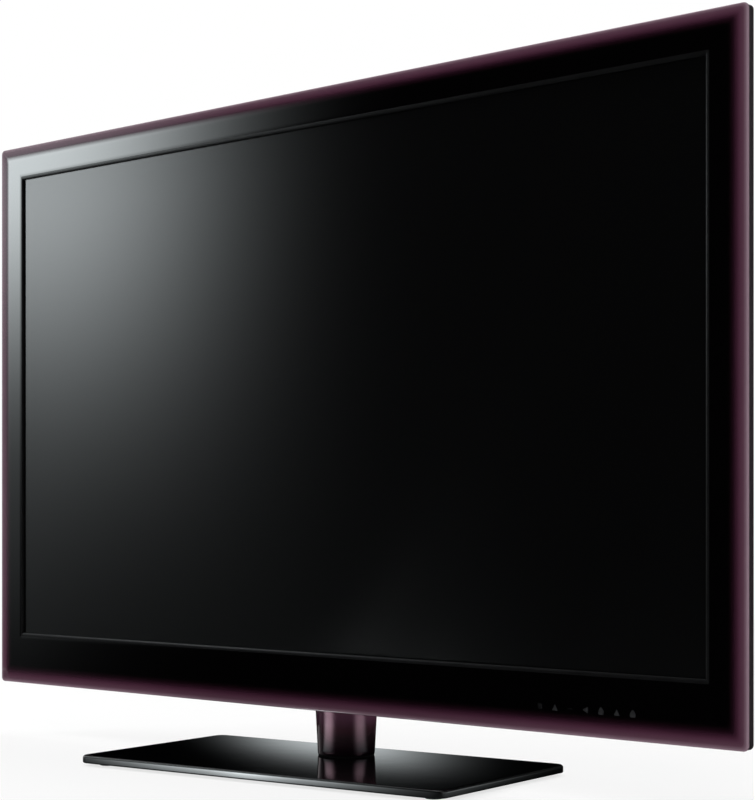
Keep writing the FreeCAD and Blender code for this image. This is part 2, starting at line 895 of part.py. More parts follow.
def make_speaker_leads():
    """Two insulated leads from the main board's lower edge to the speaker boxes."""
    y = value("board_back + wire_radius")
    top = value("speaker_low + speaker_tall")
    start = value("main_low + wire_up")
    aside = value("speaker_at")
    bend = value("wire_bend")
    level = value("anchor_low + anchor_tall + wire_bend")
    leave = value("-power_left - wire_inset")
    routes = (
        [(-aside, start), (-aside, top)],
        [(leave, level), (aside, level), (aside, top)],
    )
    shapes = []
    for route in routes:
        points = [Vector(x, y, z) for x, z in route]
        edges = []
        last = points[0]
        for before, corner, after in zip(points, points[1:], points[2:]):
            into = corner - (corner - before).normalize() * bend
            out = corner + (after - corner).normalize() * bend
            centre = into + (out - corner)
            middle = centre + (corner - centre).normalize() * bend
            edges.append(Part.LineSegment(last, into).toShape())
            edges.append(Part.Arc(into, middle, out).toShape())
            last = out
        edges.append(Part.LineSegment(last, points[-1]).toShape())
        path = Part.Wire(edges)
        along = (points[1] - points[0]).normalize()
        rim = Part.Wire(Part.makeCircle(value("wire_radius"), points[0], along))
        shapes.append(path.makePipeShell([rim], True, False))
    lead = doc.addObject("Part::Feature", "speaker_leads")
    lead.Shape = Part.makeCompound(shapes)
    node(lead, "speaker_leads", HEAD)


def make_speaker(label, sign):
    """Shallow sealed box with two cones, carried by the chassis."""
    middle = f"{sign} * speaker_at"
    y = ("chassis_back", "chassis_back + speaker_deep")
    z = ("speaker_low", "speaker_low + speaker_tall")
    case = box(label + "_case", (f"{middle} - speaker_wide / 2", f"{middle} + speaker_wide / 2"), y, z)
    dishes = []
    for k in (-1, 1):
        place = (f"{middle} + {k} * speaker_wide / 4", "speaker_low + speaker_tall / 2")
        floor = f"{y[1]} - cone_deep"
        outer = stud(f"{label}_dish_{k + 1}", "y", "cone_radius", floor, "cone_deep", place)
        hub = stud(f"{label}_hub_{k + 1}", "y", "cone_radius / 3", floor, "cone_deep", place)
        dishes.append(less(f"{label}_ring_{k + 1}", outer, [hub]))
    return node(less(label, case, dishes), label, HEAD)


def make_front_electronics():
    """Touch key board and remote receiver, each in its window of the inner frame."""
    touch = box(
        "touch_sheet",
        ("touch_left", "touch_left + touch_wide"),
        ("fascia_thick", "fascia_thick + board_thick"),
        ("touch_low", "touch_low + touch_tall"),
    )
    socket = box(
        "touch_socket",
        ("touch_left + board_margin", "touch_left + board_margin + touch_plug_wide"),
        ("fascia_thick + board_thick", "fascia_thick + board_thick + touch_plug_deep"),
        ("touch_low + (touch_tall - touch_plug_tall) / 2", "touch_low + (touch_tall + touch_plug_tall) / 2"),
    )
    node(joined("touch_board", [touch, socket]), "touch_board", HEAD)
    high = "touch_low + receiver_tall / 2"
    sheet_box = box(
        "receiver_sheet",
        ("receiver_left", "receiver_left + receiver_wide"),
        ("fascia_thick + frame_web", "fascia_thick + frame_web + board_thick"),
        ("touch_low", "touch_low + receiver_tall"),
    )
    eye_place = ("receiver_left + receiver_wide / 3", high)
    lamp_place = ("receiver_left + receiver_wide * 0.72", high)
    eye = stud("receiver_eye", "y", "eye_radius", "fascia_thick", "frame_web + 0.2", eye_place)
    lamp = stud("receiver_lamp", "y", "lamp_radius", "fascia_thick", "frame_web + 0.2", lamp_place)
    node(joined("remote_receiver", [sheet_box, eye, lamp]), "remote_receiver", HEAD)


# Wall fixing behind the back cover


def wall_points():
    low = "wall_mid - wall_pitch / 2"
    high = "wall_mid + wall_pitch / 2"
    return [(f"{side} * wall_pitch / 2", z) for side in (-1, 1) for z in (low, high)]


def make_wall_fixing():
    rails = []
    for k, side in enumerate((-1, 1)):
        middle = f"{side} * wall_pitch / 2"
        rails.append(
            box(
                f"rail_{k}",
                (f"{middle} - rail_wide / 2", f"{middle} + rail_wide / 2"),
                ("chassis_back + rib_tall", "chassis_back + rib_tall + rail_thick"),
                ("rail_low", "rail_top"),
            )
        )
    node(group("mount_rails", rails), "mount_rails", HEAD)
    inserts = []
    floor = "chassis_back + rib_tall + rail_thick"
    for k, place in enumerate(wall_points()):
        outer = stud(f"insert_body_{k}", "y", "insert_radius", floor, f"cover_back - ({floor})", place)
        bottom = "cover_back - insert_deep"
        bore = stud(f"insert_bore_{k}", "y", "insert_thread", bottom, "insert_deep + 1", place)
        inserts.append(less(f"insert_{k}", outer, [bore]))
    node(group("wall_inserts", inserts), "wall_inserts", HEAD)


# Screws round the back cover stand on pillars on the chassis


def screw_points():
    """Three along the bottom on each side, four along the top on each side, two up each side."""
    low = "screw_inset"
    high = "head_tall - screw_inset"
    side = "head_wide / 2 - screw_inset"
    places = []
    for sign in (-1, 1):
        places += [(f"{sign} * ({side}) * {share}", low) for share in (0.28, 1)]
        places += [(f"{sign} * ({side}) * {share}", high) for share in (0.2, 0.6, 1)]
        places.append((f"{sign} * ({side})", "head_mid"))
    return places


def make_cover_screws():
    posts = []
    screws = []
    for k, place in enumerate(screw_points()):
        outer = stud(f"post_{k}", "y", "post_radius", "chassis_back", "cover_inside - chassis_back", place)
        bottom = "cover_back - screw_long - 1"
        bore = stud(f"post_bore_{k}", "y", "screw_hole", bottom, "screw_long + 1", place)
        posts.append(less(f"cover_post_{k}", outer, [bore]))
        shank = stud(f"shank_{k}", "y", "screw_shank", "cover_back - screw_long", "screw_long + 0.5", place)
        head = stud(f"head_{k}", "y", "screw_head", "cover_back", "screw_head_tall", place)
        screws.append(joined(f"cover_screw_{k}", [shank, head]))
    node(group("cover_posts", posts), "cover_posts", HEAD)
    node(group("cover_screws", screws), "cover_screws", HEAD)


def fix_points():
    return [
        (f"{side} * fix_pitch_wide / 2", f"fix_mid + {up} * fix_pitch_tall / 2")
        for side in (-1, 1)
        for up in (-1, 1)
    ]


def slot_row(name, count, middle, low, tall, front):
    """Upright slots side by side, cut through the cover from its back."""
    cutters = []
    for k in range(count):
        x = f"{middle} + ({k} - {(count - 1) / 2}) * slot_pitch"
        cutters.append(
            box(
                f"{name}_{k}",
                (f"{x} - slot_wide / 2", f"{x} + slot_wide / 2"),
                (front, "cover_back + 1"),
                (low, f"{low} + {tall}"),
            )
        )
    return cutters


def make_back_cover():
    """Tapered shell with a flat back, vents, and openings for sockets, screws and wall bolts."""
    body = new_body("cover_shell")
    outer = []
    inner = []
    for name, y, shift in (("edge", "frame_back", "0"), ("flat", "cover_back", "cover_slope")):
        outer.append(
            rounded(
                body,
                "cover_" + name,
                "XZ_Plane",
                f"-({y})",
                ("0", "head_mid"),
                f"cover_wide - 2 * ({shift})",
                f"cover_tall - 2 * ({shift})",
                "cover_corner",
            )
        )
    loft(body, outer)
    for name, y, shift in (("mouth", "frame_back", "wall_shift"), ("roof", "cover_inside", "roof_shift")):
        inner.append(
            rounded(
                body,
                "cover_" + name,
                "XZ_Plane",
                f"-({y})",
                ("0", "head_mid"),
                f"cover_wide - 2 * ({shift})",
                f"cover_tall - 2 * ({shift})",
                "cover_corner - cover_wall",
            )
        )
    loft(body, inner, cut=True)
    cutters = []
    for name, radius, places in (
        ("wall_hole", "insert_radius + hole_clear", wall_points()),
        ("cover_hole", "screw_hole", screw_points()),
        ("fix_pass", "fix_hole", fix_points()),
    ):
        for k, place in enumerate(places):
            cutters.append(stud(f"{name}_{k}", "y", radius, "cover_inside - 1", "cover_wall + 2", place))
    for name, sign, low, tall in (
        ("socket_window", -1, "tray_low", "tray_tall"),
        ("inlet_window", 1, "inlet_low", "inlet_tall"),
    ):
        ends = [f"{sign} * tray_in", f"{sign} * tray_out"]
        x = ends[::sign]
        cutters.append(box(name, x, ("cover_inside - 1", "cover_back + 1"), (low, f"{low} + {tall}")))
    top = "head_tall - cover_lip - slot_drop - slot_tall"
    half = "slot_pitch * slot_count / 2 + slot_gap"
    for k, sign in enumerate((-1, 1)):
        cutters += slot_row(
            f"vent_{k}", int(value("slot_count")), f"{sign} * ({half})", top, "slot_tall", "cover_inside - 1"
        )
        cutters += slot_row(
            f"grille_{k}",
            int(value("grille_slots")),
            f"{sign} * speaker_at",
            "cover_lip + grille_up",
            "grille_tall",
            "frame_back + 1",
        )
    return node(less("back_cover", body, cutters), "back_cover", HEAD)


# Sockets stand on the main board and look sideways into a tray


def socket_tray(label, sign, low, tall, holes):
    """Open tray in the cover: floor, three outer walls, and an inner wall with socket holes."""
    outer = box(
        label + "_outer",
        [f"{sign} * tray_in", f"{sign} * tray_out"][::sign],
        ("board_back - tray_wall", "cover_back"),
        (low, f"{low} + {tall}"),
    )
    hollow = box(
        label + "_hollow",
        [f"{sign} * (tray_in + tray_wall)", f"{sign} * (tray_out - tray_wall)"][::sign],
        ("board_back", "cover_back + 1"),
        (f"{low} + tray_wall", f"{low} + {tall} - tray_wall"),
    )
    cutters = [hollow]
    for k, (middle, wide, rise) in enumerate(holes):
        cutters.append(
            box(
                f"{label}_hole_{k}",
                [f"{sign} * (tray_in - 1)", f"{sign} * (tray_in + tray_wall + 1)"][::sign],
                ("board_back", f"board_back + {rise} + socket_clear"),
                (
                    f"{middle} - {wide} / 2 - socket_clear",
                    f"{middle} + {wide} / 2 + socket_clear",
                ),
            )
        )
    return node(less(label, outer, cutters), label, HEAD)


def block_socket(name, middle, wide, tall, wall):
    """Shell on the main board with a rectangular mouth towards the tray."""
    front = "tray_in + tray_wall"
    shell = box(
        name + "_shell",
        (f"-({front})", f"socket_deep - ({front})"),
        ("board_back", f"board_back + {tall}"),
        (f"{middle} - {wide} / 2", f"{middle} + {wide} / 2"),
    )
    mouth = box(
        name + "_mouth",
        (f"-({front}) - 1", f"socket_deep - 2 - ({front})"),
        (f"board_back + {wall}", f"board_back + {tall} - {wall}"),
        (f"{middle} - {wide} / 2 + {wall}", f"{middle} + {wide} / 2 - {wall}"),
    )
    return less(name, shell, [mouth])


def round_socket(name, middle, radius, bore, proud="0"):
    front = f"-(tray_in + tray_wall + {proud})"
    place = (f"board_back + {radius}", middle)
    outer = stud(name + "_ring", "x", radius, front, f"socket_deep + {proud}", place)
    hole = stud(name + "_bore", "x", bore, f"{front} - 1", "round_bore_deep + 1", place)
    return less(name, outer, [hole])


def make_sockets():
    holes = []
    media = []
    data = []
    phono = []
    for k in range(3):
        middle = f"(main_low + media_up + {k} * media_pitch)"
        media.append(block_socket(f"media_{k}", middle, "media_wide", "media_tall", "socket_wall"))
        holes.append((middle, "media_wide", "media_tall"))
    for k in range(2):
        middle = f"(main_low + data_up + {k} * data_pitch)"
        data.append(block_socket(f"data_{k}", middle, "data_wide", "data_tall", "socket_wall"))
        holes.append((middle, "data_wide", "data_tall"))
    light = block_socket("light", "light_at", "light_size", "light_size", "light_wall")
    holes.append(("light_at", "light_size", "light_size"))
    for k in range(int(value("phono_count"))):
        middle = f"(main_low + phono_up + {k} * phono_pitch)"
        phono.append(round_socket(f"phono_{k}", middle, "phono_radius", "phono_bore"))
        holes.append((middle, "2 * phono_radius", "2 * phono_radius"))
    aerial = round_socket("aerial", "aerial_at", "aerial_radius", "aerial_bore", "aerial_proud")
    holes.append(("aerial_at", "2 * aerial_radius", "2 * aerial_radius"))
    node(group("media_sockets", media), "media_sockets", HEAD)
    node(group("data_sockets", data), "data_sockets", HEAD)
    node(light, "light_socket", HEAD)
    node(group("phono_sockets", phono), "phono_sockets", HEAD)
    node(aerial, "aerial_socket", HEAD)
    socket_tray("socket_tray", -1, "tray_low", "tray_tall", holes)


def make_inlet():
    """Two-pin mains inlet in a tray of its own; its lead isn't part of the model."""
    middle = "(inlet_low + inlet_tall / 2)"
    wall = "(mains_tall - mains_bore_tall) / 2"
    front = "tray_in + tray_wall"
    shell = box(
        "mains_shell",
        (f"{front} - socket_deep", front),
        ("board_back", "board_back + mains_tall"),
        (f"{middle} - mains_wide / 2", f"{middle} + mains_wide / 2"),
    )
    mouth = box(
        "mains_mouth",
        (f"{front} - socket_deep + 2", f"{front} + 1"),
        (f"board_back + {wall}", f"board_back + mains_tall - {wall}"),
        (f"{middle} - mains_bore_wide / 2", f"{middle} + mains_bore_wide / 2"),
    )
    parts = [less("mains_case", shell, [mouth])]
    for k, sign in enumerate((-1, 1)):
        parts.append(
            stud(
                f"mains_pin_{k}",
                "x",
                "mains_pin",
                f"{front} - socket_deep + 1",
                "socket_deep - 3",
                ("board_back + mains_tall / 2", f"{middle} + {sign} * mains_pin_pitch / 2"),
            )
        )
    node(joined("mains_inlet", parts), "mains_inlet", HEAD)
    socket_tray("inlet_tray", 1, "inlet_low", "inlet_tall", [(middle, "mains_wide", "mains_tall")])


# Stand bracket: steel anchor inside the cover, cast bracket and shroud outside


def make_anchor():
    """Channel on the chassis whose back web takes the bracket's screws."""
    half = "anchor_wide / 2"
    z = ("anchor_low", "anchor_low + anchor_tall")
    web = box("anchor_web", (f"-{half}", half), ("anchor_front", "cover_inside"), z)
    legs = [
        box(f"anchor_leg_{k}", ends, ("chassis_back", "cover_inside"), z)
        for k, ends in enumerate(((f"-{half}", f"anchor_thick - {half}"), (f"{half} - anchor_thick", half)))
    ]
    nut_low = "anchor_front - nut_deep"
    nuts = [
        stud(f"anchor_nut_{k}", "y", "fix_hole + nut_wall", nut_low, "nut_deep + 0.5", place)
        for k, place in enumerate(fix_points())
    ]
    through = "anchor_thick + nut_deep + 2"
    holes = [
        stud(f"anchor_hole_{k}", "y", "fix_hole", f"{nut_low} - 1", through, place)
        for k, place in enumerate(fix_points())
    ]
    whole = joined("anchor_channel", [web] + legs + nuts)
    node(less("stand_anchor", whole, holes), "stand_anchor", HEAD)


def make_bracket():
    """Cast piece: round flange on the neck, web up behind the head, gussets between them."""
    low = "-neck_clear"
    top = "flange_thick - neck_clear"
    flange = stud("bracket_flange", "z", "neck_top_radius", low, "flange_thick", ("0", "neck_back"))
    across = ("-web_wide / 2", "web_wide / 2")
    web_top = "anchor_low + 2 * plate_step"
    web = box("bracket_web", across, ("plate_y", "plate_back"), (low, web_top))
    plate = box(
        "bracket_plate",
        ("-plate_wide / 2", "plate_wide / 2"),
        ("plate_y", "plate_back"),
        ("anchor_low + plate_step", "anchor_low + anchor_tall - plate_step"),
    )
    foot = box("bracket_foot", across, ("plate_y", "neck_back"), (low, top))
    foot_edge = stud("bracket_round", "z", "neck_top_radius", low, "flange_thick", ("0", "neck_back"))
    trimmed = doc.addObject("Part::Common", "bracket_foot_trim")
    trimmed.Base = foot
    trimmed.Tool = foot_edge
    gussets = []
    for k, sign in enumerate((-1, 1)):
        middle = f"{sign} * gusset_pitch / 2"
        rib = doc.addObject("Part::Wedge", f"gusset_{k}")
        link(rib, "Xmax", "gusset_thick")
        link(rib, "Ymax", "gusset_reach")
        link(rib, "Zmax", "gusset_tall")
        rib.Xmin = rib.X2min = rib.Ymin = rib.Zmin = rib.Z2min = 0
        link(rib, "X2max", "gusset_thick")
        link(rib, "Z2max", "gusset_top")
        link(rib, "Placement.Base.x", f"{middle} - gusset_thick / 2")
        link(rib, "Placement.Base.y", "plate_back - 0.5")
        link(rib, "Placement.Base.z", f"{top} - 0.5")
        gussets.append(rib)
    whole = joined("bracket_whole", [flange, web, plate, trimmed] + gussets)
    holes = [
        stud(f"bracket_hole_{k}", "y", "fix_hole", "plate_y - 1", "plate_thick + 2", place)
        for k, place in enumerate(fix_points())
    ]
    node(less("stand_bracket", whole, holes), "stand_bracket", HEAD)
    screws = []
    for k, place in enumerate(fix_points()):
        shank = stud(f"fix_shank_{k}", "y", "fix_shank", "plate_back - fix_long", "fix_long + 0.5", place)
        head = stud(f"fix_head_{k}", "y", "fix_head", "plate_back", "fix_head_tall", place)
        screws.append(joined(f"bracket_screw_{k}", [shank, head]))
    node(group("bracket_screws", screws), "bracket_screws", HEAD)


def make_shroud():
    """Moulded cover over the bracket: round at the back, its two sides cut flat at the bracket."""
    body = new_body("shroud_shell")
    levels = (
        ("low", "shroud_low", "shroud_low", "shroud_wide", "shroud_deep", "shroud_corner"),
        (
            "top",
            "shroud_tall",
            "shroud_tall - shroud_wall",
            "shroud_top_wide",
            "shroud_top_deep",
            "shroud_top_corner",
        ),
    )
    outer = []
    inner = []
    for name, height, ceiling, wide, deep, corner in levels:
        outer.append(
            rounded(
                body,
                "shroud_outer_" + name,
                "XY_Plane",
                height,
                ("0", f"shroud_front + ({deep} - shroud_run) / 2"),
                wide,
                f"{deep} + shroud_run",
                corner,
            )
        )
    loft(body, outer)
    for name, height, ceiling, wide, deep, corner in levels:
        inner.append(
            rounded(
                body,
                "shroud_inner_" + name,
                "XY_Plane",
                ceiling,
                ("0", f"shroud_front + ({deep} - shroud_run) / 2 - shroud_wall"),
                f"{wide} - 2 * shroud_wall",
                f"{deep} + shroud_run",
                f"{corner} - shroud_wall",
            )
        )
    loft(body, inner, cut=True)
    half = "(shroud_top_wide + shroud_wide) / 2"
    ahead = box(
        "shroud_ahead",
        (f"-{half}", half),
        ("shroud_front - shroud_run - 2 * shroud_wall", "shroud_front"),
        ("shroud_low - 1", "shroud_tall + 1"),
    )
    return node(less("neck_shroud", body, [ahead]), "neck_shroud", HEAD)


# Neck and swivel


def make_neck():
    """Flared sleeve outside, steel post inside it, and the plate screwed under the post."""
    centre = ("0", "0")
    low = "base_top + bush_flange_thick + neck_clear"
    taper = cone("neck_taper", "neck_low_radius", "neck_top_radius", low, f"post_top - ({low})")
    flare_low = "neck_top_radius - neck_flare"
    flare_top = "neck_top_radius + neck_flare"
    flare = cone("neck_flare_ring", flare_low, flare_top, "post_top - flare_tall", "flare_tall")
    bore = stud("neck_bore", "z", "neck_low_radius - neck_wall", "base_top", "neck_tall + 1", centre)
    node(less("neck_sleeve", joined("neck_solid", [taper, flare]), [bore]), "neck_sleeve", NECK)

    post_tall = "post_top - turn_plate_top"
    inside = "post_out - post_wall"
    post = stud("post_solid", "z", "post_out", "turn_plate_top", post_tall, centre)
    hollow = stud("post_hollow", "z", inside, "turn_plate_top - 1", f"{post_tall} + 2", centre)
    pilots = []
    screws = []
    passes = []
    under = "turn_plate_low - pilot_head_tall"
    through = "turn_plate_thick + 2"
    for k in range(int(value("pilot_count"))):
        angle = f"{k} * 360 / pilot_count + 90"
        place = (f"pilot_at * cos({angle})", f"pilot_at * sin({angle})")
        hole = "pilot_shank + pilot_clear"
        pilots.append(stud(f"pilot_{k}", "z", hole, "turn_plate_top - 1", "pilot_deep + 1", place))
        passes.append(stud(f"pilot_pass_{k}", "z", hole, "turn_plate_low - 1", through, place))
        stem_tall = "turn_plate_thick + pilot_deep - 1"
        stem = stud(f"pilot_stem_{k}", "z", "pilot_shank", "turn_plate_low", stem_tall, place)
        cap = stud(f"pilot_cap_{k}", "z", "pilot_head", under, "pilot_head_tall", place)
        screws.append(joined(f"pilot_screw_{k}", [stem, cap]))
    node(less("neck_post", post, [hollow] + pilots), "neck_post", NECK)
    node(group("swivel_screws", screws), "swivel_screws", NECK)

    z = ("turn_plate_low", "turn_plate_low + turn_plate_thick")
    plate = stud("turn_disc", "z", "turn_plate_radius", "turn_plate_low", "turn_plate_thick", centre)
    tab = box("turn_tab", ("-tab_half", "tab_half"), ("0", "tab_reach"), z)
    core = stud("turn_core", "z", inside, "turn_plate_low - 1", through, centre)
    whole = joined("turn_whole", [plate, tab])
    node(less("swivel_plate", whole, [core] + passes), "swivel_plate", NECK)


def make_swivel_seat():
    """Plastic bush and washer in the base, and the two pins that stop the swivel."""
    centre = ("0", "0")
    inner = "post_out + shaft_clear"
    through = "base_skin + bush_flange_thick + 2"
    collar = stud("bush_collar", "z", "bush_out", "well_roof", "base_skin + 0.5", centre)
    rim = stud("bush_rim", "z", "bush_out + bush_flange", "base_top", "bush_flange_thick", centre)
    bore = stud("bush_bore", "z", inner, "well_roof - 1", through, centre)
    node(less("swivel_bush", joined("bush_solid", [collar, rim]), [bore]), "swivel_bush", STAND)

    low = "well_roof - washer_thick"
    inner = "post_out + washer_clear"
    ring = stud("washer_disc", "z", f"{inner} + washer_wide", low, "washer_thick", centre)
    hole = stud("washer_hole", "z", inner, f"{low} - 1", "washer_thick + 2", centre)
    node(less("swivel_washer", ring, [hole]), "swivel_washer", STAND)

    limit = "swivel_each_way + asin((tab_half + stop_radius + neck_clear) / stop_at) / 1 deg"
    pins = []
    for k, sign in enumerate((-1, 1)):
        angle = f"90 + {sign} * ({limit})"
        place = (f"stop_at * cos({angle})", f"stop_at * sin({angle})")
        pins.append(
            stud(f"stop_pin_{k}", "z", "stop_radius", "turn_plate_low", "well_roof - turn_plate_low", place)
        )
    node(group("swivel_stops", pins), "swivel_stops", STAND)


# Table base


def base_grid(inset, columns):
    """Places near the base's long edges, the given shares of the half width to each side."""
    half = f"base_wide / 2 - {inset}"
    reach = f"base_deep / 2 - {inset}"
    return [
        (f"{share} * ({half})", f"{side} * ({reach}) - base_shift")
        for share in columns
        for side in (-1, 1)
    ]


# Shares of the base's half width at which its screws stand
BOLT_COLUMNS = (-1, -0.4, 0.4, 1)


def make_base_plate():
    body = new_body("base_plate_shell")
    middle = ("0", "-base_shift")
    outline = rounded(
        body, "base_outline", "XY_Plane", "foot_tall", middle, "base_wide", "base_deep", "base_corner"
    )
    pad(body, outline, "base_thick")
    top = value("base_top")
    low = value("foot_tall")
    dress(body, "Fillet", "Radius", "base_top_round", lambda edge: abs(edge.ZMin - top) < LEVEL)
    dress(body, "Fillet", "Radius", "base_low_round", lambda edge: abs(edge.ZMax - low) < LEVEL)
    hollow = rounded(
        body,
        "weight_recess",
        "XY_Plane",
        "foot_tall",
        middle,
        "base_wide - 2 * base_rim",
        "base_deep - 2 * base_rim",
        "base_corner - base_rim / 2",
    )
    pocket(body, hollow, "base_thick - base_skin", reverse=True)
    hole = disc(body, "bush_hole", "XY_Plane", "well_roof", ("0", "0"), "bush_out")
    pocket(body, hole, "base_skin", reverse=True)
    bites = [
        stud(f"bolt_bite_{k}", "z", "bolt_hole", "well_roof - 1", "bolt_bite + bolt_sunk + 1", place)
        for k, place in enumerate(base_grid("bolt_inset", BOLT_COLUMNS))
    ]
    node(less("base_plate", body, bites), "base_plate", STAND)


def make_base_weight():
    """Steel plate in the base's underside, open round the swivel, held by sunk screws."""
    body = new_body("weight_slab")
    middle = ("0", "-base_shift")
    outline = rounded(
        body,
        "weight_outline",
        "XY_Plane",
        "foot_tall",
        middle,
        "base_wide - 2 * base_rim - 2 * weight_clear",
        "base_deep - 2 * base_rim - 2 * weight_clear",
        "base_corner - base_rim / 2",
    )
    pad(body, outline, "base_thick - base_skin")
    well = disc(body, "swivel_well", "XY_Plane", "foot_tall", ("0", "0"), "well_radius")
    pocket(body, well, "base_thick - base_skin", reverse=True)
    cutters = []
    screws = []
    low = "foot_tall + bolt_sunk"
    under = "foot_tall - 1"
    for k, place in enumerate(base_grid("bolt_inset", BOLT_COLUMNS)):
        sunk = "bolt_head_tall + bolt_sunk + 1"
        cutters.append(stud(f"bolt_pass_{k}", "z", "bolt_hole", under, "base_thick", place))
        cutters.append(stud(f"bolt_sink_{k}", "z", "bolt_sink", under, sunk, place))
        stem = stud(f"bolt_stem_{k}", "z", "bolt_shank", low, f"well_roof + bolt_bite - ({low})", place)
        cap = stud(f"bolt_cap_{k}", "z", "bolt_head", low, "bolt_head_tall", place)
        screws.append(joined(f"base_screw_{k}", [stem, cap]))
    node(less("base_weight", body, cutters), "base_weight", STAND)
    node(group("base_screws", screws), "base_screws", STAND)
    feet = [
        stud(f"foot_{k}", "z", "foot_radius", "0", "foot_tall", place)
        for k, place in enumerate(base_grid("foot_inset", (-1, 1)))
    ]
    node(group("rubber_feet", feet), "rubber_feet", STAND)


make_front_fascia()
make_front_frame()
make_screen_stack()
make_middle_mould()
make_lamp_strip("lamp_strip_top", 1)
make_lamp_strip("lamp_strip_bottom", -1)
make_chassis()
make_boards()
make_standoffs()
make_source_boards()
make_cables()
make_speaker_leads()
make_speaker("speaker_left", -1)
make_speaker("speaker_right", 1)
make_front_electronics()
make_wall_fixing()
make_cover_screws()
make_back_cover()
make_sockets()
make_inlet()
make_anchor()
make_bracket()
make_shroud()
make_neck()
make_swivel_seat()
make_base_plate()
make_base_weight()
doc.recompute()

# Every object is checked before any file is written
for obj in doc.Objects:
    faults = [state for state in obj.State if state in ("Invalid", "Error")]
    if faults:
        raise RuntimeError(f"{obj.Name} is {faults}")
for obj in nodes:
    if obj.Shape.isNull() or not obj.Shape.isValid() or not obj.Shape.Solids:
        raise RuntimeError(f"{obj.Label} has no valid shape")

os.makedirs("parts", exist_ok=True)
for obj in nodes:
    obj.Shape.exportStep(f"parts/{obj.Label}.step")
print(len(nodes), "nodes written")
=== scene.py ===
# %% [markdown]
# # A flat screen television on a swivel table stand
# This lesson dresses a television that was drawn in a CAD program. The CAD file gives every
# solid its true size and place. Blender gives those solids their finishes, replaces a few of
# them with finer shapes, and lights the whole as in a photo studio.
#
# The imported model comes in first, and nothing in it is moved.
# %% Load the imported model
import json
import math

import bmesh
import bpy
from mathutils import Matrix, Vector


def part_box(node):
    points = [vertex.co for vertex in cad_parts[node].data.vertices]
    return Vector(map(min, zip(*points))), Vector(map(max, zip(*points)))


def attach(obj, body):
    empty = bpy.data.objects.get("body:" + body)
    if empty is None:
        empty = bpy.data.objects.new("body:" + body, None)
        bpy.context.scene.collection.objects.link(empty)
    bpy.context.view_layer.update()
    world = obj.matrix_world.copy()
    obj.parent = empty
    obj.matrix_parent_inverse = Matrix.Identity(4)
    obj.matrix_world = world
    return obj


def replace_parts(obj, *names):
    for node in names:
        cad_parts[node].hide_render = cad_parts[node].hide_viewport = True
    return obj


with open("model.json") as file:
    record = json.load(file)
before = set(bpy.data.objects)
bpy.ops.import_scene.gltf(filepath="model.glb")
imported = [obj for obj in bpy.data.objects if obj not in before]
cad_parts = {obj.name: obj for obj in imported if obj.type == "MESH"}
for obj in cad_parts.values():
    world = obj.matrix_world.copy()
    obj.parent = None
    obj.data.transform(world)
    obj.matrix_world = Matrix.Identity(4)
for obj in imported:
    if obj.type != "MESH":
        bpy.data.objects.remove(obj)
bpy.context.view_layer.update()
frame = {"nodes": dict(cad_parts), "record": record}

NODES = frame["nodes"]
SLOT = {row["node"]: row["material_slot"] for row in frame["record"]["subparts"]}

# %% [markdown]
# ## The camera
# The photograph looks at the television from its right, a little above the table, through a
# long lens. The upright edges of the head are upright in the picture, so the camera is level. A
# small upward shift frames the head without making its sides lean, as the sliding front of a
# view camera does. A camera, a lamp or a mesh is only data: `new_object` gives it a place.
# %% Camera
LENS, RISE_SHIFT = 87.75, 0.1372
STANDS_AT, LOOKS_LEFT = (1.37525, -1.4243, 0.26385), math.radians(42.14)


def new_object(name, data):
    made = bpy.data.objects.new(name, data)
    bpy.context.collection.objects.link(made)
    return made


eye = bpy.data.cameras.new("studio_camera")
eye.sensor_width = 36
eye.lens = LENS
eye.shift_y = RISE_SHIFT
camera = new_object("studio_camera", eye)
camera.location = STANDS_AT
camera.rotation_euler = (math.radians(90), 0, LOOKS_LEFT)
bpy.context.scene.camera = camera
bpy.context.scene.view_settings.view_transform = "Standard"
print("the lens is", LENS, "mm and stands", round(camera.location.length, 2), "m from the stand")

# %% [markdown]
# ## Small helpers for finishes
# A finish is a material made of nodes. Each one starts with the same shader, so this helper
# sets the plain numbers on it. A finish that is named after a slot of the record is kept for
# that slot. Position is read from the object's own coordinates in metres: a grain of 2 mm is
# then 2 mm on every piece, and needs no unwrapping.
# %% Start a finish
FINISH = {}


def shader_of(finish):
    return finish.node_tree.nodes["Principled BSDF"]


def start_finish(name, rough=0.5, metal=0.0, colour=(0.02, 0.02, 0.02), **more):
    """New material; more sets other numbers of its shader by their names."""
    finish = bpy.data.materials.new(name)
    finish.use_nodes = True
    numbers = {"Base_Color": (*colour, 1), "Roughness": rough, "Metallic": metal, **more}
    for plug, number in numbers.items():
        shader_of(finish).inputs[plug.replace("_", " ")].default_value = number
    if name in SLOT.values():
        FINISH[name] = finish
    return finish


def add_node(finish, kind, **inputs):
    """New node, with its numbered or named inputs set or linked."""
    node = finish.node_tree.nodes.new("ShaderNode" + kind)
    for key, given in inputs.items():
        plug = node.inputs[int(key[1:])] if key[1:].isdigit() else node.inputs[key.replace("_", " ")]
        if isinstance(given, bpy.types.NodeSocket):
            finish.node_tree.links.new(given, plug)
        else:
            plug.default_value = given
    return node


def place_of(finish):
    return add_node(finish, "TexCoord").outputs["Object"]


def xyz_of(finish):
    return add_node(finish, "SeparateXYZ", Vector=place_of(finish)).outputs


def drive(finish, plug, value):
    """Link a value to a plug of the finish's shader."""
    finish.node_tree.links.new(value, shader_of(finish).inputs[plug])
    return finish


print("finishes start from one shader")

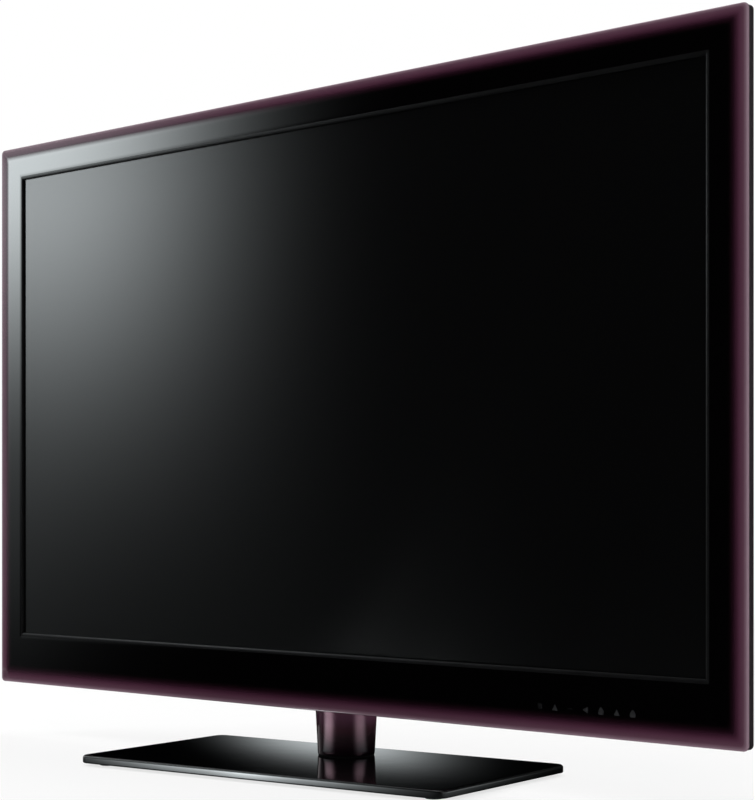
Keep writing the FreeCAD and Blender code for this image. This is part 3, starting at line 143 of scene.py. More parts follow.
# %% [markdown]
# Some finishes depend on a measure, such as the distance from an edge. Nodes work it out, one
# step of arithmetic each. With these helpers a formula reads nearly as it would on paper.
# %% Arithmetic with nodes
def arithmetic(finish, rule, *given):
    node = add_node(finish, "Math", **{f"_{k}": value for k, value in enumerate(given)})
    node.operation = rule
    return node.outputs[0]


def chained(rule):
    """A rule of arithmetic that takes two or more values."""

    def worked_out(finish, first, *others):
        for other in others:
            first = arithmetic(finish, rule, first, other)
        return first

    return worked_out


plus, minus, times = chained("ADD"), chained("SUBTRACT"), chained("MULTIPLY")
least, greatest = chained("MINIMUM"), chained("MAXIMUM")


def between(finish, value, start, end, first, last):
    """Straight run from first to last as a value goes from start to end."""
    run = {"From_Min": start, "From_Max": end, "To_Min": first, "To_Max": last}
    return add_node(finish, "MapRange", Value=value, **run).outputs[0]


def ramp(finish, value, stops):
    """Colour ramp from a list of (position, colour)."""
    node = add_node(finish, "ValToRGB", Fac=value)
    line = node.color_ramp
    while len(line.elements) < len(stops):
        line.elements.new(1)
    for element, (at, colour) in zip(line.elements, stops):
        element.position = at
        element.color = (*colour, 1)
    return node.outputs[0]


def paint(finish, value, stops):
    return drive(finish, "Base Color", ramp(finish, value, stops))


print("five short sums, a straight run and a colour ramp")

# %% [markdown]
# Real plastic, paint and metal are never quite even. Three habits of a surface are enough for
# most of this set: a grain that tilts the light (bump), a patchy shine where it was touched or
# wiped (roughness), and a slight drift of colour. Each has its own helper, and `surface` puts
# the three together.
# %% Grain, shine and colour drift
NOISE_LOW, NOISE_HIGH = 0.3, 0.7


def noise(finish, scale, detail=3.0, stretch=(1, 1, 1)):
    place = add_node(finish, "Mapping", Vector=place_of(finish), Scale=stretch).outputs[0]
    return add_node(finish, "TexNoise", Vector=place, Scale=scale, Detail=detail).outputs[0]


def cells(finish, scale):
    return add_node(finish, "TexVoronoi", Vector=place_of(finish), Scale=scale).outputs


def bump(finish, height_of, height, strength):
    """Tilt the light by a height pattern; height is in metres."""
    relief = add_node(finish, "Bump", Height=height_of, Strength=strength, Distance=height)
    return drive(finish, "Normal", relief.outputs[0])


def grain(finish, scale, height, strength, detail=3.0, stretch=(1, 1, 1)):
    return bump(finish, noise(finish, scale, detail, stretch), height, strength)


def shine(finish, low, high, scale, detail=4.0, stretch=(1, 1, 1)):
    """Roughness that wanders between two values."""
    wander = between(finish, noise(finish, scale, detail, stretch), NOISE_LOW, NOISE_HIGH, low, high)
    return drive(finish, "Roughness", wander)


def drift(finish, dark, pale, scale, detail=4.0, stretch=(1, 1, 1)):
    """Colour that wanders between two near tones."""
    return paint(finish, noise(finish, scale, detail, stretch), [(NOISE_LOW, dark), (NOISE_HIGH, pale)])


def surface(name, rough, dark, pale, scale, grain_by=None, shine_by=None, stretch=(1, 1, 1), **more):
    """Usual finish: its drift, then its grain (scale, height, strength) and shine (low, high, scale)."""
    finish = drift(start_finish(name, rough, **more), dark, pale, scale, stretch=stretch)
    if grain_by:
        grain(finish, *grain_by)
    if shine_by:
        shine(finish, *shine_by)
    return finish


print("three habits: grain, shine, drift")

# %% [markdown]
# ## Small helpers for shapes
# The new pieces here are turned, sawn or cut from sheet, as the real ones are. So there are
# three makers. `turned` spins a profile about an axis, as a lathe does, and `turned_ring` does
# the same with a closed profile. `block` is a bar with softened edges. `plate` is a flat
# outline with a thickness.
# %% Lathe, bar and sheet
def turned(shape, profile, place, steps=64):
    """Spin (radius, height) points about the up axis, then put them in place; a list of rings."""
    on_axis = {k: shape.verts.new(place @ Vector((0, 0, h))) for k, (r, h) in enumerate(profile) if r == 0}
    rings = []
    for step in range(steps):
        angle = math.tau * step / steps
        ring = []
        for k, (radius, height) in enumerate(profile):
            spot = Vector((radius * math.cos(angle), radius * math.sin(angle), height))
            ring.append(on_axis[k] if k in on_axis else shape.verts.new(place @ spot))
        rings.append(ring)
    for ring, following in zip(rings, rings[1:] + rings[:1]):
        for k in range(len(profile) - 1):
            corners = dict.fromkeys((ring[k], following[k], following[k + 1], ring[k + 1]))
            shape.faces.new(list(corners))
    return rings


def turned_ring(shape, outline, place, steps=40):
    turned(shape, outline + outline[:1], place, steps)
    bmesh.ops.remove_doubles(shape, verts=shape.verts, dist=1e-8)


def block(shape, low, high, soft):
    """Bar between two corners, with its edges softened."""
    low, high = Vector(low), Vector(high)
    corners = bmesh.ops.create_cube(shape, size=1)["verts"]
    for corner in corners:
        share = corner.co + Vector((0.5, 0.5, 0.5))
        corner.co = low + Vector(a * b for a, b in zip(share, high - low))
    edges = list({edge for corner in corners for edge in corner.link_edges})
    bmesh.ops.bevel(shape, geom=edges, offset=soft, segments=2, profile=0.5, affect="EDGES")


def plate(shape, outline, front, back):
    """Upright sheet between two depths, cut to an outline of (x, z) points."""
    ahead = [shape.verts.new((x, front, z)) for x, z in outline]
    behind = [shape.verts.new((x, back, z)) for x, z in outline]
    shape.faces.new(ahead)
    shape.faces.new(behind[::-1])
    for k in range(len(outline)):
        shape.faces.new((ahead[k - 1], ahead[k], behind[k], behind[k - 1]))


print("three makers: turned, block, plate")

# %% [markdown]
# Every piece is finished in one place: edges sharper than 35° stay sharp, it gets its finish,
# and it rides on the body that carries it; its slot gives the finish when none is given. A piece
# that stands for a CAD solid needs that solid's place. `solids_of` reads it from the mesh: it
# joins corners that meet, follows the edges from corner to corner, and gives the box of each
# separate solid.
# %% Finish a piece, find the solids
SHARP_ANGLE, SAME_PLACE = math.radians(35), 1e-6


def add_piece(name, shape, body, slot, finish=None):
    bmesh.ops.recalc_face_normals(shape, faces=shape.faces)
    mesh = bpy.data.meshes.new(name)
    shape.to_mesh(mesh)
    shape.free()
    mesh.shade_smooth()
    mesh.set_sharp_from_angle(angle=SHARP_ANGLE)
    mesh.materials.append(finish or FINISH[slot])
    piece = new_object(name, mesh)
    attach(piece, body)
    return piece


def solids_of(name):
    """Lowest and highest corner of each separate solid in a node."""
    shape = bmesh.new()
    shape.from_mesh(NODES[name].data)
    bmesh.ops.remove_doubles(shape, verts=shape.verts, dist=SAME_PLACE)
    waiting, boxes = set(shape.verts), []
    while waiting:
        found, reached = set(), {waiting.pop()}
        while reached:
            found |= reached
            reached = {edge.other_vert(vert) for vert in reached for edge in vert.link_edges} & waiting
            waiting -= reached
        along_axes = [[vert.co[axis] for vert in found] for axis in range(3)]
        boxes.append((Vector(map(min, along_axes)), Vector(map(max, along_axes))))
    shape.free()
    return sorted(boxes, key=lambda box: tuple(round(v, 4) for v in box[0]))


print(len(solids_of("cover_screws")), "cover screws and", len(solids_of("rubber_feet")), "feet found")

# %% [markdown]
# ## The studio
# The floor is plain white and soft, and keeps the shadow of the stand. To the camera it is
# mostly light and a little paint, so it merges with the white background, yet still darkens
# where the set shades it. Further off it is light alone, so no horizon shows. The sky is an
# even grey light for paint and plastic, and plain white wherever a camera or a mirror looks.
# %% Floor and sky
FLOOR_HALF, NEAR, FAR, NEAR_GLOW = 30, 0.5, 3.0, 0.74
SKY_LIGHT = 0.42


def sheet_mesh(name, corners, faces=None):
    mesh = bpy.data.meshes.new(name)
    mesh.from_pydata(corners, [], faces or [tuple(range(len(corners)))])
    sheet = new_object(name, mesh)
    return sheet


def flat_corners(left, right, near, far, height):
    return [(left, near, height), (right, near, height), (right, far, height), (left, far, height)]


def bare_finish(name):
    """Material without its usual shader, for things that glow."""
    finish = bpy.data.materials.new(name)
    finish.use_nodes = True
    finish.node_tree.nodes.remove(shader_of(finish))
    return finish


def show(finish, shader):
    finish.node_tree.links.new(shader.outputs[0], finish.node_tree.nodes["Material Output"].inputs[0])


def looked_at(finish):
    """1 where a camera, a mirror or a clear body looks, 0 for soft light."""
    path = add_node(finish, "LightPath").outputs
    return greatest(finish, *(path[f"Is {kind} Ray"] for kind in ("Camera", "Glossy", "Transmission")))


floor = sheet_mesh("studio_floor", flat_corners(-FLOOR_HALF, FLOOR_HALF, -FLOOR_HALF, FLOOR_HALF, 0))
white = bare_finish("floor_white")
far = add_node(white, "VectorMath", _0=place_of(white))
far.operation = "LENGTH"
share = times(white, looked_at(white), between(white, far.outputs["Value"], NEAR, FAR, NEAR_GLOW, 1.0))
chalk = add_node(white, "BsdfDiffuse", Color=(0.9, 0.9, 0.9, 1))
light = add_node(white, "Emission", Strength=1.0)
show(white, add_node(white, "MixShader", _0=share, _1=chalk.outputs[0], _2=light.outputs[0]))
floor.data.materials.append(white)

sky = bpy.data.worlds.new("studio_sky")
bpy.context.scene.world = sky
sky.use_nodes = True
backdrop = sky.node_tree.nodes["Background"].inputs
sky.node_tree.links.new(between(sky, looked_at(sky), 0, 1, SKY_LIGHT, 1.0), backdrop["Strength"])
backdrop["Color"].default_value = (1, 1, 1, 1)
print("the sky gives", SKY_LIGHT, "to paint, and shows as 1 to the camera")

# %% [markdown]
# Four large soft lamps give shape. The strongest stands high on the left, where the photo's
# pale light comes from. A large lamp close by makes soft shadows, because each point of the
# floor still sees part of it. The two in front aren't mirrored, because the next cells set
# what the glossy front mirrors.
# %% Soft lamps
LAMPS = (
    ("lamp_high_left", (-1.9, -1.2, 2.0), 0.3, (1.4, 1.4), 34, False),
    ("lamp_front_right", (1.8, -2.2, 1.6), 0.3, (1.2, 1.2), 16, False),
    ("lamp_overhead", (0.0, 0.4, 2.6), 0.2, (2.2, 1.6), 30, True),
    ("lamp_behind", (0.9, 2.2, 1.4), 0.3, (1.6, 1.2), 16, True),
)
for name, place, aimed_at, size, power, mirrored in LAMPS:
    light = bpy.data.lights.new(name, "AREA")
    light.shape = "RECTANGLE"
    light.size, light.size_y = size
    light.energy = power
    lamp = new_object(name, light)
    lamp.location = place
    lamp.rotation_euler = (Vector((0, 0, aimed_at)) - Vector(place)).to_track_quat("-Z", "Y").to_euler()
    lamp.visible_glossy = mirrored
print(len(LAMPS), "lamps")

# %% [markdown]
# ## Cards that the gloss can see
# A black mirror shows its surroundings more than itself. In the photograph the front mirrors a
# dark room, with one soft pale glow at the upper left, and the base mirrors a glow behind the
# neck. A studio gets this with large cards round the set. The cards here are seen by mirrored
# rays alone: they cast no shadow, light nothing, and the camera looks through them. The glow on
# each is a smooth formula of the place on it, so there is no edge to see.
# %% Reflection cards
CARD_WHITE = (0.91, 0.98, 1, 1)


def reflection_card(name, corners, strength_of, faces=None, colour_of=None):
    """Card that glows on its front. A card with faces of its own is clear from behind."""
    card = sheet_mesh(name, corners, faces)
    for ray in ("camera", "diffuse", "transmission", "volume_scatter", "shadow"):
        setattr(card, "visible_" + ray, False)
    finish = bare_finish(name)
    light = add_node(finish, "Emission", Color=CARD_WHITE, Strength=strength_of(finish))
    if colour_of:
        finish.node_tree.links.new(colour_of(finish), light.inputs["Color"])
    shown = light
    if faces:
        behind = add_node(finish, "NewGeometry").outputs["Backfacing"]
        unseen = add_node(finish, "BsdfTransparent")
        shown = add_node(finish, "MixShader", _0=behind, _1=light.outputs[0], _2=unseen.outputs[0])
    show(finish, shown)
    card.data.materials.append(finish)


def fading(finish, value, start, reach, power):
    """How far past the start a value is, in reaches, raised to a power; nothing before it."""
    past = arithmetic(finish, "DIVIDE", minus(finish, value, start), reach)
    return arithmetic(finish, "POWER", greatest(finish, past, 0.0), power)


def glow(finish, top, *falls):
    """Brightness that falls off smoothly by the sum of the given distances."""
    total = plus(finish, *falls)
    return times(finish, arithmetic(finish, "EXPONENT", times(finish, total, -1.0)), top)


print("a card glows by a formula")

# %% [markdown]
# The card in front carries a bright soft box at the upper left and a weak tail of it towards the
# floor. The card behind carries the glow that the base mirrors beside the neck. Each fall is
# given by where it starts, how far it reaches, and a power: the higher the power, the flatter
# the middle and the steeper the end.
# %% Two large cards
BOX_TOP, BOX_ACROSS, BOX_DOWN = 9.6, (-1.02, 0.39, 2.9), (-0.81, 0.256, 2.0)
LEFT_END, TOP_END, PAST_END = (-1.2, -1.06), (-0.885, -0.82), 0.10
TAIL_TOP, TAIL_ACROSS, TAIL_DOWN = 0.36, (-1.02, 0.18, 1.5), (-0.3, 0.22, 2.0)
BEHIND_TOP, BEHIND_MIDDLE = 1.1, -0.81
BEHIND_LEFT, BEHIND_RIGHT, BEHIND_UP = (0.0, 0.205, 2.6), (0.0, 0.17, 2.4), (0.13, 0.036, 2.6)


def upright_corners(left, right, low, high, depth):
    return [(left, depth, low), (right, depth, low), (right, depth, high), (left, depth, high)]


def glow_upper_left(finish):
    x, _, z = xyz_of(finish)
    down = times(finish, z, -1.0)
    box = glow(finish, BOX_TOP, fading(finish, x, *BOX_ACROSS), fading(finish, down, *BOX_DOWN))
    left_end = between(finish, x, *LEFT_END, PAST_END, 1.0)
    top_end = between(finish, down, *TOP_END, PAST_END, 1.0)
    tail = glow(finish, TAIL_TOP, fading(finish, x, *TAIL_ACROSS), fading(finish, down, *TAIL_DOWN))
    return plus(finish, times(finish, box, left_end, top_end), tail)


def glow_behind_neck(finish):
    x, _, z = xyz_of(finish)
    right = minus(finish, x, BEHIND_MIDDLE)
    left = times(finish, right, -1.0)
    falls = ((left, BEHIND_LEFT), (right, BEHIND_RIGHT), (z, BEHIND_UP))
    return glow(finish, BEHIND_TOP, *(fading(finish, value, *fall) for value, fall in falls))


reflection_card("card_front", upright_corners(-3.5, 3.5, 0.003, 5.0, -0.4), glow_upper_left)
reflection_card("card_behind", upright_corners(-3.2, 2.4, 0.0005, 2.5, 0.9), glow_behind_neck)
print("two large cards")

# %% [markdown]
# The base's polished edge lies low, so it needs low cards of its own. A strip stands close in
# front of it, and a weak one at its right. They are only 22 mm tall, so the front hardly shows
# them. The edge mirrors them as one soft bright line, brightest near the neck, as in the
# photograph. Their light is a sum of lobes, each with a brightness, a middle, a reach and a
# power, and it dims at the foot and at the top.
# %% Low strips for the base's edge
neck_low, neck_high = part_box("neck_sleeve")
NECK = (neck_low + neck_high) / 2
REST_TURN = math.radians(6.9)
STRIP_LOW, STRIP_FULL, STRIP_DIMS, STRIP_TOP, STRIP_FOOT = 0.0008, 0.009, 0.013, 0.022, 0.17
FRONT_ENDS = ((-0.5, -0.1745), (0.235, -0.1745))
FRONT_LOBES = ((11.8, -0.027, 0.146, 2.5), (9.0, -0.012, 0.036, 2.0))
SIDE_ENDS, SIDE_LOBES = ((0.25, -0.16), (0.25, 0.5)), ((1.7, -0.1, 0.1, 2.0),)


def on_stand(across, along):
    """Place given in the turned stand's own directions, counted from the neck's axis."""
    return Vector((NECK.x, NECK.y, 0)) + Matrix.Rotation(REST_TURN, 3, "Z") @ Vector((across, along, 0))


def lobes_along(finish, along, lobes):
    glows = []
    for top, middle, reach, power in lobes:
        aside = arithmetic(finish, "ABSOLUTE", minus(finish, along, middle))
        glows.append(glow(finish, top, fading(finish, aside, 0.0, reach, power)))
    return plus(finish, *glows)


def low_strip(name, ends, lobes):
    start, end = (on_stand(*place) for place in ends)
    direction = (end - start).normalized()

    def strength_of(finish):
        along = add_node(finish, "VectorMath", _0=place_of(finish), _1=direction)
        along.operation = "DOT_PRODUCT"
        along = minus(finish, along.outputs["Value"], NECK.dot(direction))
        height = xyz_of(finish)["Z"]
        foot = between(finish, height, 0.0, STRIP_FULL, STRIP_FOOT, 1.0)
        head = between(finish, height, STRIP_DIMS, STRIP_TOP, 1.0, 0.0)
        return times(finish, lobes_along(finish, along, lobes), foot, head)

    rows = ((start, STRIP_LOW), (end, STRIP_LOW), (end, STRIP_TOP), (start, STRIP_TOP))
    reflection_card(name, [(place.x, place.y, height) for place, height in rows], strength_of)


low_strip("strip_front", FRONT_ENDS, FRONT_LOBES)
low_strip("strip_side", SIDE_ENDS, SIDE_LOBES)
print("two strips,", STRIP_TOP * 1000, "mm tall")

# %% [markdown]
# The neck is a dark mirror wrapped round an axis, so it mirrors nearly the whole room. The photo
# shows two upright streaks on it and dark limbs. A card bent round the neck gives just that: two
# glows on black, a little greener below. It opens upward like a funnel, so that the whole height
# of the neck sees it, and it is seen from the inside alone, so it hides the neck from nothing.
# Dark sheets on the floor keep the white floor out of the neck's limbs and out of the screen's
# wide, soft mirror.
# %% Bent card round the neck
FUNNEL = ((0.050, 0.0113), (0.135, 0.0370))
FUNNEL_STEPS, FUNNEL_FROM, FUNNEL_TO = 48, math.radians(-137), math.radians(50)
FUNNEL_FADE = math.radians(12)
STREAKS = ((6.0, math.radians(-110), 0.32, 3.0), (3.4, math.radians(0), 0.32, 3.0))
RISE = [(0.0113, 0.16), (0.0140, 0.26), (0.0200, 0.58), (0.0240, 0.76), (0.0280, 1.0), (0.0370, 0.82)]
GREEN_FROM, GREEN_TO, GREEN, PALE = 0.0124, 0.0200, (0.71, 1.0, 0.94), (0.95, 0.98, 1.0)
SHEET_LEVEL, SHEET_GLOW = 0.0006, 0.12


def neck_streaks(finish):
    x, y, z = xyz_of(finish)
    angle = arithmetic(finish, "ARCTAN2", minus(finish, y, NECK.y), minus(finish, x, NECK.x))
    bottom, top = (height for radius, height in FUNNEL)
    up = between(finish, z, bottom, top, 0.0, 1.0)
    stops = [((height - bottom) / (top - bottom), (level,) * 3) for height, level in RISE]
    begin = between(finish, angle, FUNNEL_FROM, FUNNEL_FROM + FUNNEL_FADE, 0.0, 1.0)
    return times(finish, lobes_along(finish, angle, STREAKS), ramp(finish, up, stops), begin)


def greener_below(finish):
    up = between(finish, xyz_of(finish)["Z"], GREEN_FROM, GREEN_TO, 0.0, 1.0)
    return ramp(finish, up, [(0.0, GREEN), (1.0, PALE)])


def dark_sheet(name, level, *sides):
    reflection_card(name, flat_corners(*sides, SHEET_LEVEL), lambda finish: times(finish, level, 1.0))


corners = []
for step in range(FUNNEL_STEPS + 1):
    angle = FUNNEL_FROM + (FUNNEL_TO - FUNNEL_FROM) * step / FUNNEL_STEPS
    for radius, height in FUNNEL:
        corners.append((NECK.x + radius * math.cos(angle), NECK.y + radius * math.sin(angle), height))
faces = [(2 * k, 2 * k + 1, 2 * k + 3, 2 * k + 2) for k in range(FUNNEL_STEPS)]
reflection_card("card_neck", corners, neck_streaks, faces, greener_below)
dark_sheet("card_floor_behind", 0.0, -0.9, 2.4, -0.02, 0.9)
dark_sheet("card_floor_front", SHEET_GLOW, -3.5, 3.5, -0.4, -0.02)
print("bent card, from", FUNNEL[0][0] * 1000, "to", FUNNEL[1][0] * 1000, "mm from the neck's axis")

# %% [markdown]
# ## The front moulding
# The real front is one piece of glossy plastic, nearly black, with a wine colour moulded into
# its outer edge. The colour fades to black over about 18 mm. So the finish works out how far
# each point is from the nearest outer edge of the solid's box, and a colour ramp turns that
# distance into a tone. The colour reaches a little further in from below than from above, so
# those two distances are scaled.
# %% Wine edge fading into black
WINE_EDGE = [
    (0.0, (0.300, 0.205, 0.250)),
    (0.09, (0.165, 0.102, 0.130)),
    (0.20, (0.092, 0.042, 0.064)),
    (0.40, (0.064, 0.0225, 0.041)),
    (0.56, (0.0300, 0.0088, 0.0180)),
    (0.72, (0.0088, 0.0027, 0.0053)),
    (0.90, (0.0016, 0.0008, 0.0011)),
    (1.0, (0.0006, 0.0005, 0.0006)),
]
WINE_REACH, LOW_PACE, HIGH_PACE = 0.02, 0.93, 1.15
LEVEL_SOFT, CORNER_SOFT = 0.004, 0.006


def edge_distances(finish, box):
    """Metres to the nearest side edge, bottom edge and top edge."""
    low, high = box
    x, _, z = xyz_of(finish)
    across = arithmetic(finish, "ABSOLUTE", x)
    return minus(finish, high.x, across), minus(finish, z, low.z), minus(finish, high.z, z)


def soft_least(finish, *given):
    return arithmetic(finish, "SMOOTH_MIN", *given)


fascia = start_finish("fascia_gloss", rough=0.045)
side, under, over = edge_distances(fascia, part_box("front_fascia"))
level = soft_least(fascia, times(fascia, under, LOW_PACE), times(fascia, over, HIGH_PACE), LEVEL_SOFT)
nearest = soft_least(fascia, side, level, CORNER_SOFT)
paint(fascia, arithmetic(fascia, "DIVIDE", nearest, WINE_REACH), WINE_EDGE)
print("the wine colour ends", WINE_REACH * 1000, "mm in")

# %% [markdown]
# The coloured rim isn't quite flat. It falls away by about 6° towards the top and the sides, so
# it looks past the pale glow that the flat part mirrors, and shows its own colour. That is
# hardly more than a millimetre in depth, so a bump can carry it: its height is 0 inside, curves
# down at the inner end of the rim, and then falls evenly. Beside the opening the front rolls
# off towards the screen in the same way, by up to 9°, over the last 3.4 mm. A shallow wave of
# the moulding is added to both.
# %% Rim that falls away
RIM_WIDE, RIM_CURVE, RIM_SLOPE = 0.0168, 0.0080, 0.10
RIMS, ROLL_WIDE, ROLL_SLOPE = (0.0377, 0.0547, 0.0347), 0.0034, 0.16
WAVE_SCALE, WAVE_TALL, MILLIMETRE = 55, 0.000016, 0.001
edge = soft_least(fascia, side, over, CORNER_SOFT)
inward = greatest(fascia, minus(fascia, RIM_WIDE, edge), 0.0)
curved = least(fascia, inward, RIM_CURVE)
straight = minus(fascia, inward, curved)
fall = plus(fascia, times(fascia, curved, curved, 0.5 / RIM_CURVE), straight)
gaps = (minus(fascia, rim, run) for rim, run in zip(RIMS, (side, under, over)))
roll = greatest(fascia, minus(fascia, ROLL_WIDE, greatest(fascia, *gaps)), 0.0)
parts = (
    times(fascia, noise(fascia, WAVE_SCALE, 2), WAVE_TALL),
    times(fascia, fall, -RIM_SLOPE),
    times(fascia, roll, roll, -0.5 * ROLL_SLOPE / ROLL_WIDE),
)
bump(fascia, times(fascia, plus(fascia, *parts), 1 / MILLIMETRE), MILLIMETRE, 1.0)
print("the rim falls", round(RIM_SLOPE * (RIM_WIDE - RIM_CURVE / 2) * 1000, 2), "mm in all")

# %% [markdown]
# The opening for the screen has a rounded lip that leads the eye down to the glass. It is a
# little duller than the front, so it shows as a soft grey line on three sides and as a dark one
# beside the glow. Four mitred bars make it, like a picture frame. The section of each is a part
# of an ellipse, with a short wall down to the glass.
# %% Lip round the screen
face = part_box("front_fascia")[0].y
HAIR = 0.00001
LIP_EDGE, LIP_SILL, LIP_TOP = 0.4724, 0.1154, 0.6552
LIP_LEFT, LIP_RIGHT, LIP_LOW, LIP_HIGH = 0.0022, 0.0042, 0.0040, 0.0040
LIP_DEEP, LIP_BACK, LIP_UNDER, LIP_FOOT = 0.0018, 0.00295, 0.00085, 0.25
ROUND_RUNS = (0.0, 0.25, 0.45, 0.60, 0.72, 0.82, 0.90, 0.96, 1.0)
section = [(run, face - HAIR + LIP_DEEP * (1 - math.sqrt(1 - run * run))) for run in ROUND_RUNS]
section += [(1.0, face + LIP_BACK), (LIP_FOOT, face + LIP_BACK), (LIP_FOOT, face + LIP_UNDER)]


def lip_corners(run):
    left, right = LIP_LEFT * run - LIP_EDGE, LIP_EDGE - LIP_RIGHT * run
    low, high = LIP_SILL + LIP_LOW * run, LIP_TOP - LIP_HIGH * run
    return [(left, low), (right, low), (right, high), (left, high)]


shape = bmesh.new()
for bar in range(4):
    ends = []
    for run, depth in section:
        spots = lip_corners(run)
        ends.append([shape.verts.new((x, depth, z)) for x, z in (spots[bar - 1], spots[bar])])
    for (start, end), (next_start, next_end) in zip(ends, ends[1:] + ends[:1]):
        shape.faces.new((start, end, next_end, next_start))
    shape.faces.new([start for start, end in ends])
    shape.faces.new([end for start, end in reversed(ends)])
LIP_TONES = (0.0030, 0.0030, 0.0032), (0.0045, 0.0045, 0.0048)
lip = surface("lip_satin", 0.36, *LIP_TONES, 40, (2400, 0.00002, 0.3), Specular_IOR_Level=0.19)
add_piece("screen_lip", shape, "head", "fascia_gloss", lip)
print("the lip leaves", round((2 * LIP_EDGE - LIP_LEFT - LIP_RIGHT) * 1000), "mm of the screen in sight")

# %% [markdown]
# ## Touch marks
# At the lower right of the front are seven touch keys, whose marks show as faint grey shapes
# behind the gloss. Here each mark is a thin printed plate, a hundredth of a millimetre proud of
# the moulding: a square, triangles, a bar, drops. They are plain signs of no maker's own. The
# touch key board inside gives the place of their row.
# %% Touch key marks
TRIANGLE = [(-0.5, -0.45), (0.5, -0.45), (0, 0.5)]
MARKS = {
    "square": [(-0.4, -0.4), (0.4, -0.4), (0.4, 0.4), (-0.4, 0.4)],
    "up": TRIANGLE,
    "bar": [(-0.42, -0.1), (0.42, -0.1), (0.42, 0.1), (-0.42, 0.1)],
    "aside": [(-z, x) for x, z in TRIANGLE],
    "drop": [(-0.42, -0.5), (0.42, -0.5), (0.5, 0.0), (0.12, 0.55), (-0.12, 0.55), (-0.5, 0.0)],
}
pale_ink = surface("key_mark_grey", 0.12, (0.014, 0.0145, 0.0155), (0.025, 0.0255, 0.0265), 220)
dim_ink = surface("key_mark_dim", 0.12, (0.0040, 0.0040, 0.0044), (0.0065, 0.0065, 0.0070), 220)
KEYS = ("square", dim_ink), ("up", pale_ink), ("bar", dim_ink), ("aside", pale_ink)
KEYS += ("drop", pale_ink), ("up", pale_ink), ("drop", pale_ink)
KEY_PITCH, KEY_SIZE, KEY_END, KEY_DEEP = 0.017, 0.0062, 0.009, 0.0001
board_low, board_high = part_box("touch_board")
first_key = board_high.x - KEY_END - KEY_PITCH * (len(KEYS) - 1)
for number, (kind, ink) in enumerate(KEYS):
    middle = first_key + KEY_PITCH * number
    outline = [(middle + x * KEY_SIZE, board_low.z + z * KEY_SIZE) for x, z in MARKS[kind]]
    shape = bmesh.new()
    plate(shape, outline, face - HAIR, face + KEY_DEEP)
    add_piece(f"key_mark_{number + 1}", shape, "head", "fascia_gloss", ink)
print(len(KEYS), "marks from x =", round(first_key, 3))

# %% [markdown]
# ## The screen
# A screen that is off is dark grey under a finely roughened film. The film scatters mirrored
# light, so the pale glow looks wider and weaker here than on the polished rim beside it. The
# coating that keeps mirror light down is a lower specular level. A band just outside the
# picture area is printed blacker, under the edge of the opening.
# %% Screen
PRINT_REACH, PRINTED, PICTURE = 0.02, (0.0004, 0.0004, 0.0004), (0.0014, 0.0014, 0.0015)
coated = {"Specular_IOR_Level": 0.40, "Anisotropic": 0.9, "Anisotropic_Rotation": 0.25}
screen = start_finish("screen_dark", rough=0.245, **coated)
screen_low, screen_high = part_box("screen_glass")
nearest = least(screen, *edge_distances(screen, (screen_low, screen_high)))
inward = arithmetic(screen, "DIVIDE", nearest, PRINT_REACH)
paint(screen, inward, [(0.32, PRINTED), (0.37, PICTURE)])
grain(screen, 9000, 0.00002, strength=0.12, detail=1)
print("screen", [round(v, 3) for v in screen_high - screen_low])

# %% [markdown]
# ## Frame and gasket
# Behind the gloss stands the inner frame, which shows as a dark strip at the side. It is
# moulded in a steel tool with an even, fine grain, so it looks satin. The gasket between frame
# and glass is closed foam: no shine, and a skin of tiny cells, which a cell pattern (Voronoi)
# gives better than noise does.
# %% Satin frame, foam gasket
SATIN_TONES = (0.020, 0.0155, 0.0185), (0.028, 0.0215, 0.0255)
surface("frame_black", 0.34, *SATIN_TONES, 9, (2200, 0.00003, 0.3), (0.30, 0.40, 25))
foam = surface("gasket_foam", 0.9, (0.018, 0.018, 0.019), (0.030, 0.030, 0.031), 300)
bump(foam, cells(foam, 1800)["Distance"], 0.00012, 0.6)
print("frame and gasket")

# %% [markdown]
# ## The neck
# The neck is a round sleeve of clear wine-coloured plastic over a dark core. It widens a little
# on its way up, and flares just under the head. The CAD sleeve gives the bottom, the top and
# the widest radius. The turned piece rounds the lower lip, which catches a fine line of light,
# and makes the flare a curve in place of a cone. The colour runs from wine at the top to nearly
# black below. The bright wine at the top is partly the plastic's tint and partly a painted glow,
# which stands for light carried inside the clear plastic.
# %% Turned neck
neck_radius = (neck_high.x - neck_low.x) / 2
neck_tall = neck_high.z - neck_low.z
LOW_RADIUS, WALL, LIP, FLARE_TALL, FLARE = 0.0294, 0.004, 0.0007, 0.0055, 0.0013
FIRST_LEVEL, LEVEL_STEP, LEVELS, LIP_STEPS, FLARE_STEPS = 0.004, 0.0028, 14, 4, 6
# Tones from the foot to the top of the neck: the plastic's wine tint, with a painted glow that brightens
# it towards the top.
NECK_TINT_AND_GLOW = [
    (0.0, (0.0020, 0.0008, 0.0015)),
    (0.11, (0.0045, 0.0012, 0.0030)),
    (0.39, (0.020, 0.0115, 0.0140)),
    (0.60, (0.056, 0.0220, 0.0320)),
    (0.80, (0.135, 0.0550, 0.0950)),
    (1.0, (0.200, 0.0800, 0.1300)),
]


def neck_outline(height):
    """Outer radius at a height above the neck's lower end."""
    straight = LOW_RADIUS + (neck_radius - FLARE - LOW_RADIUS) * height / neck_tall
    past = max(0.0, (height - neck_tall + FLARE_TALL) / FLARE_TALL)
    return straight + FLARE * past ** 2


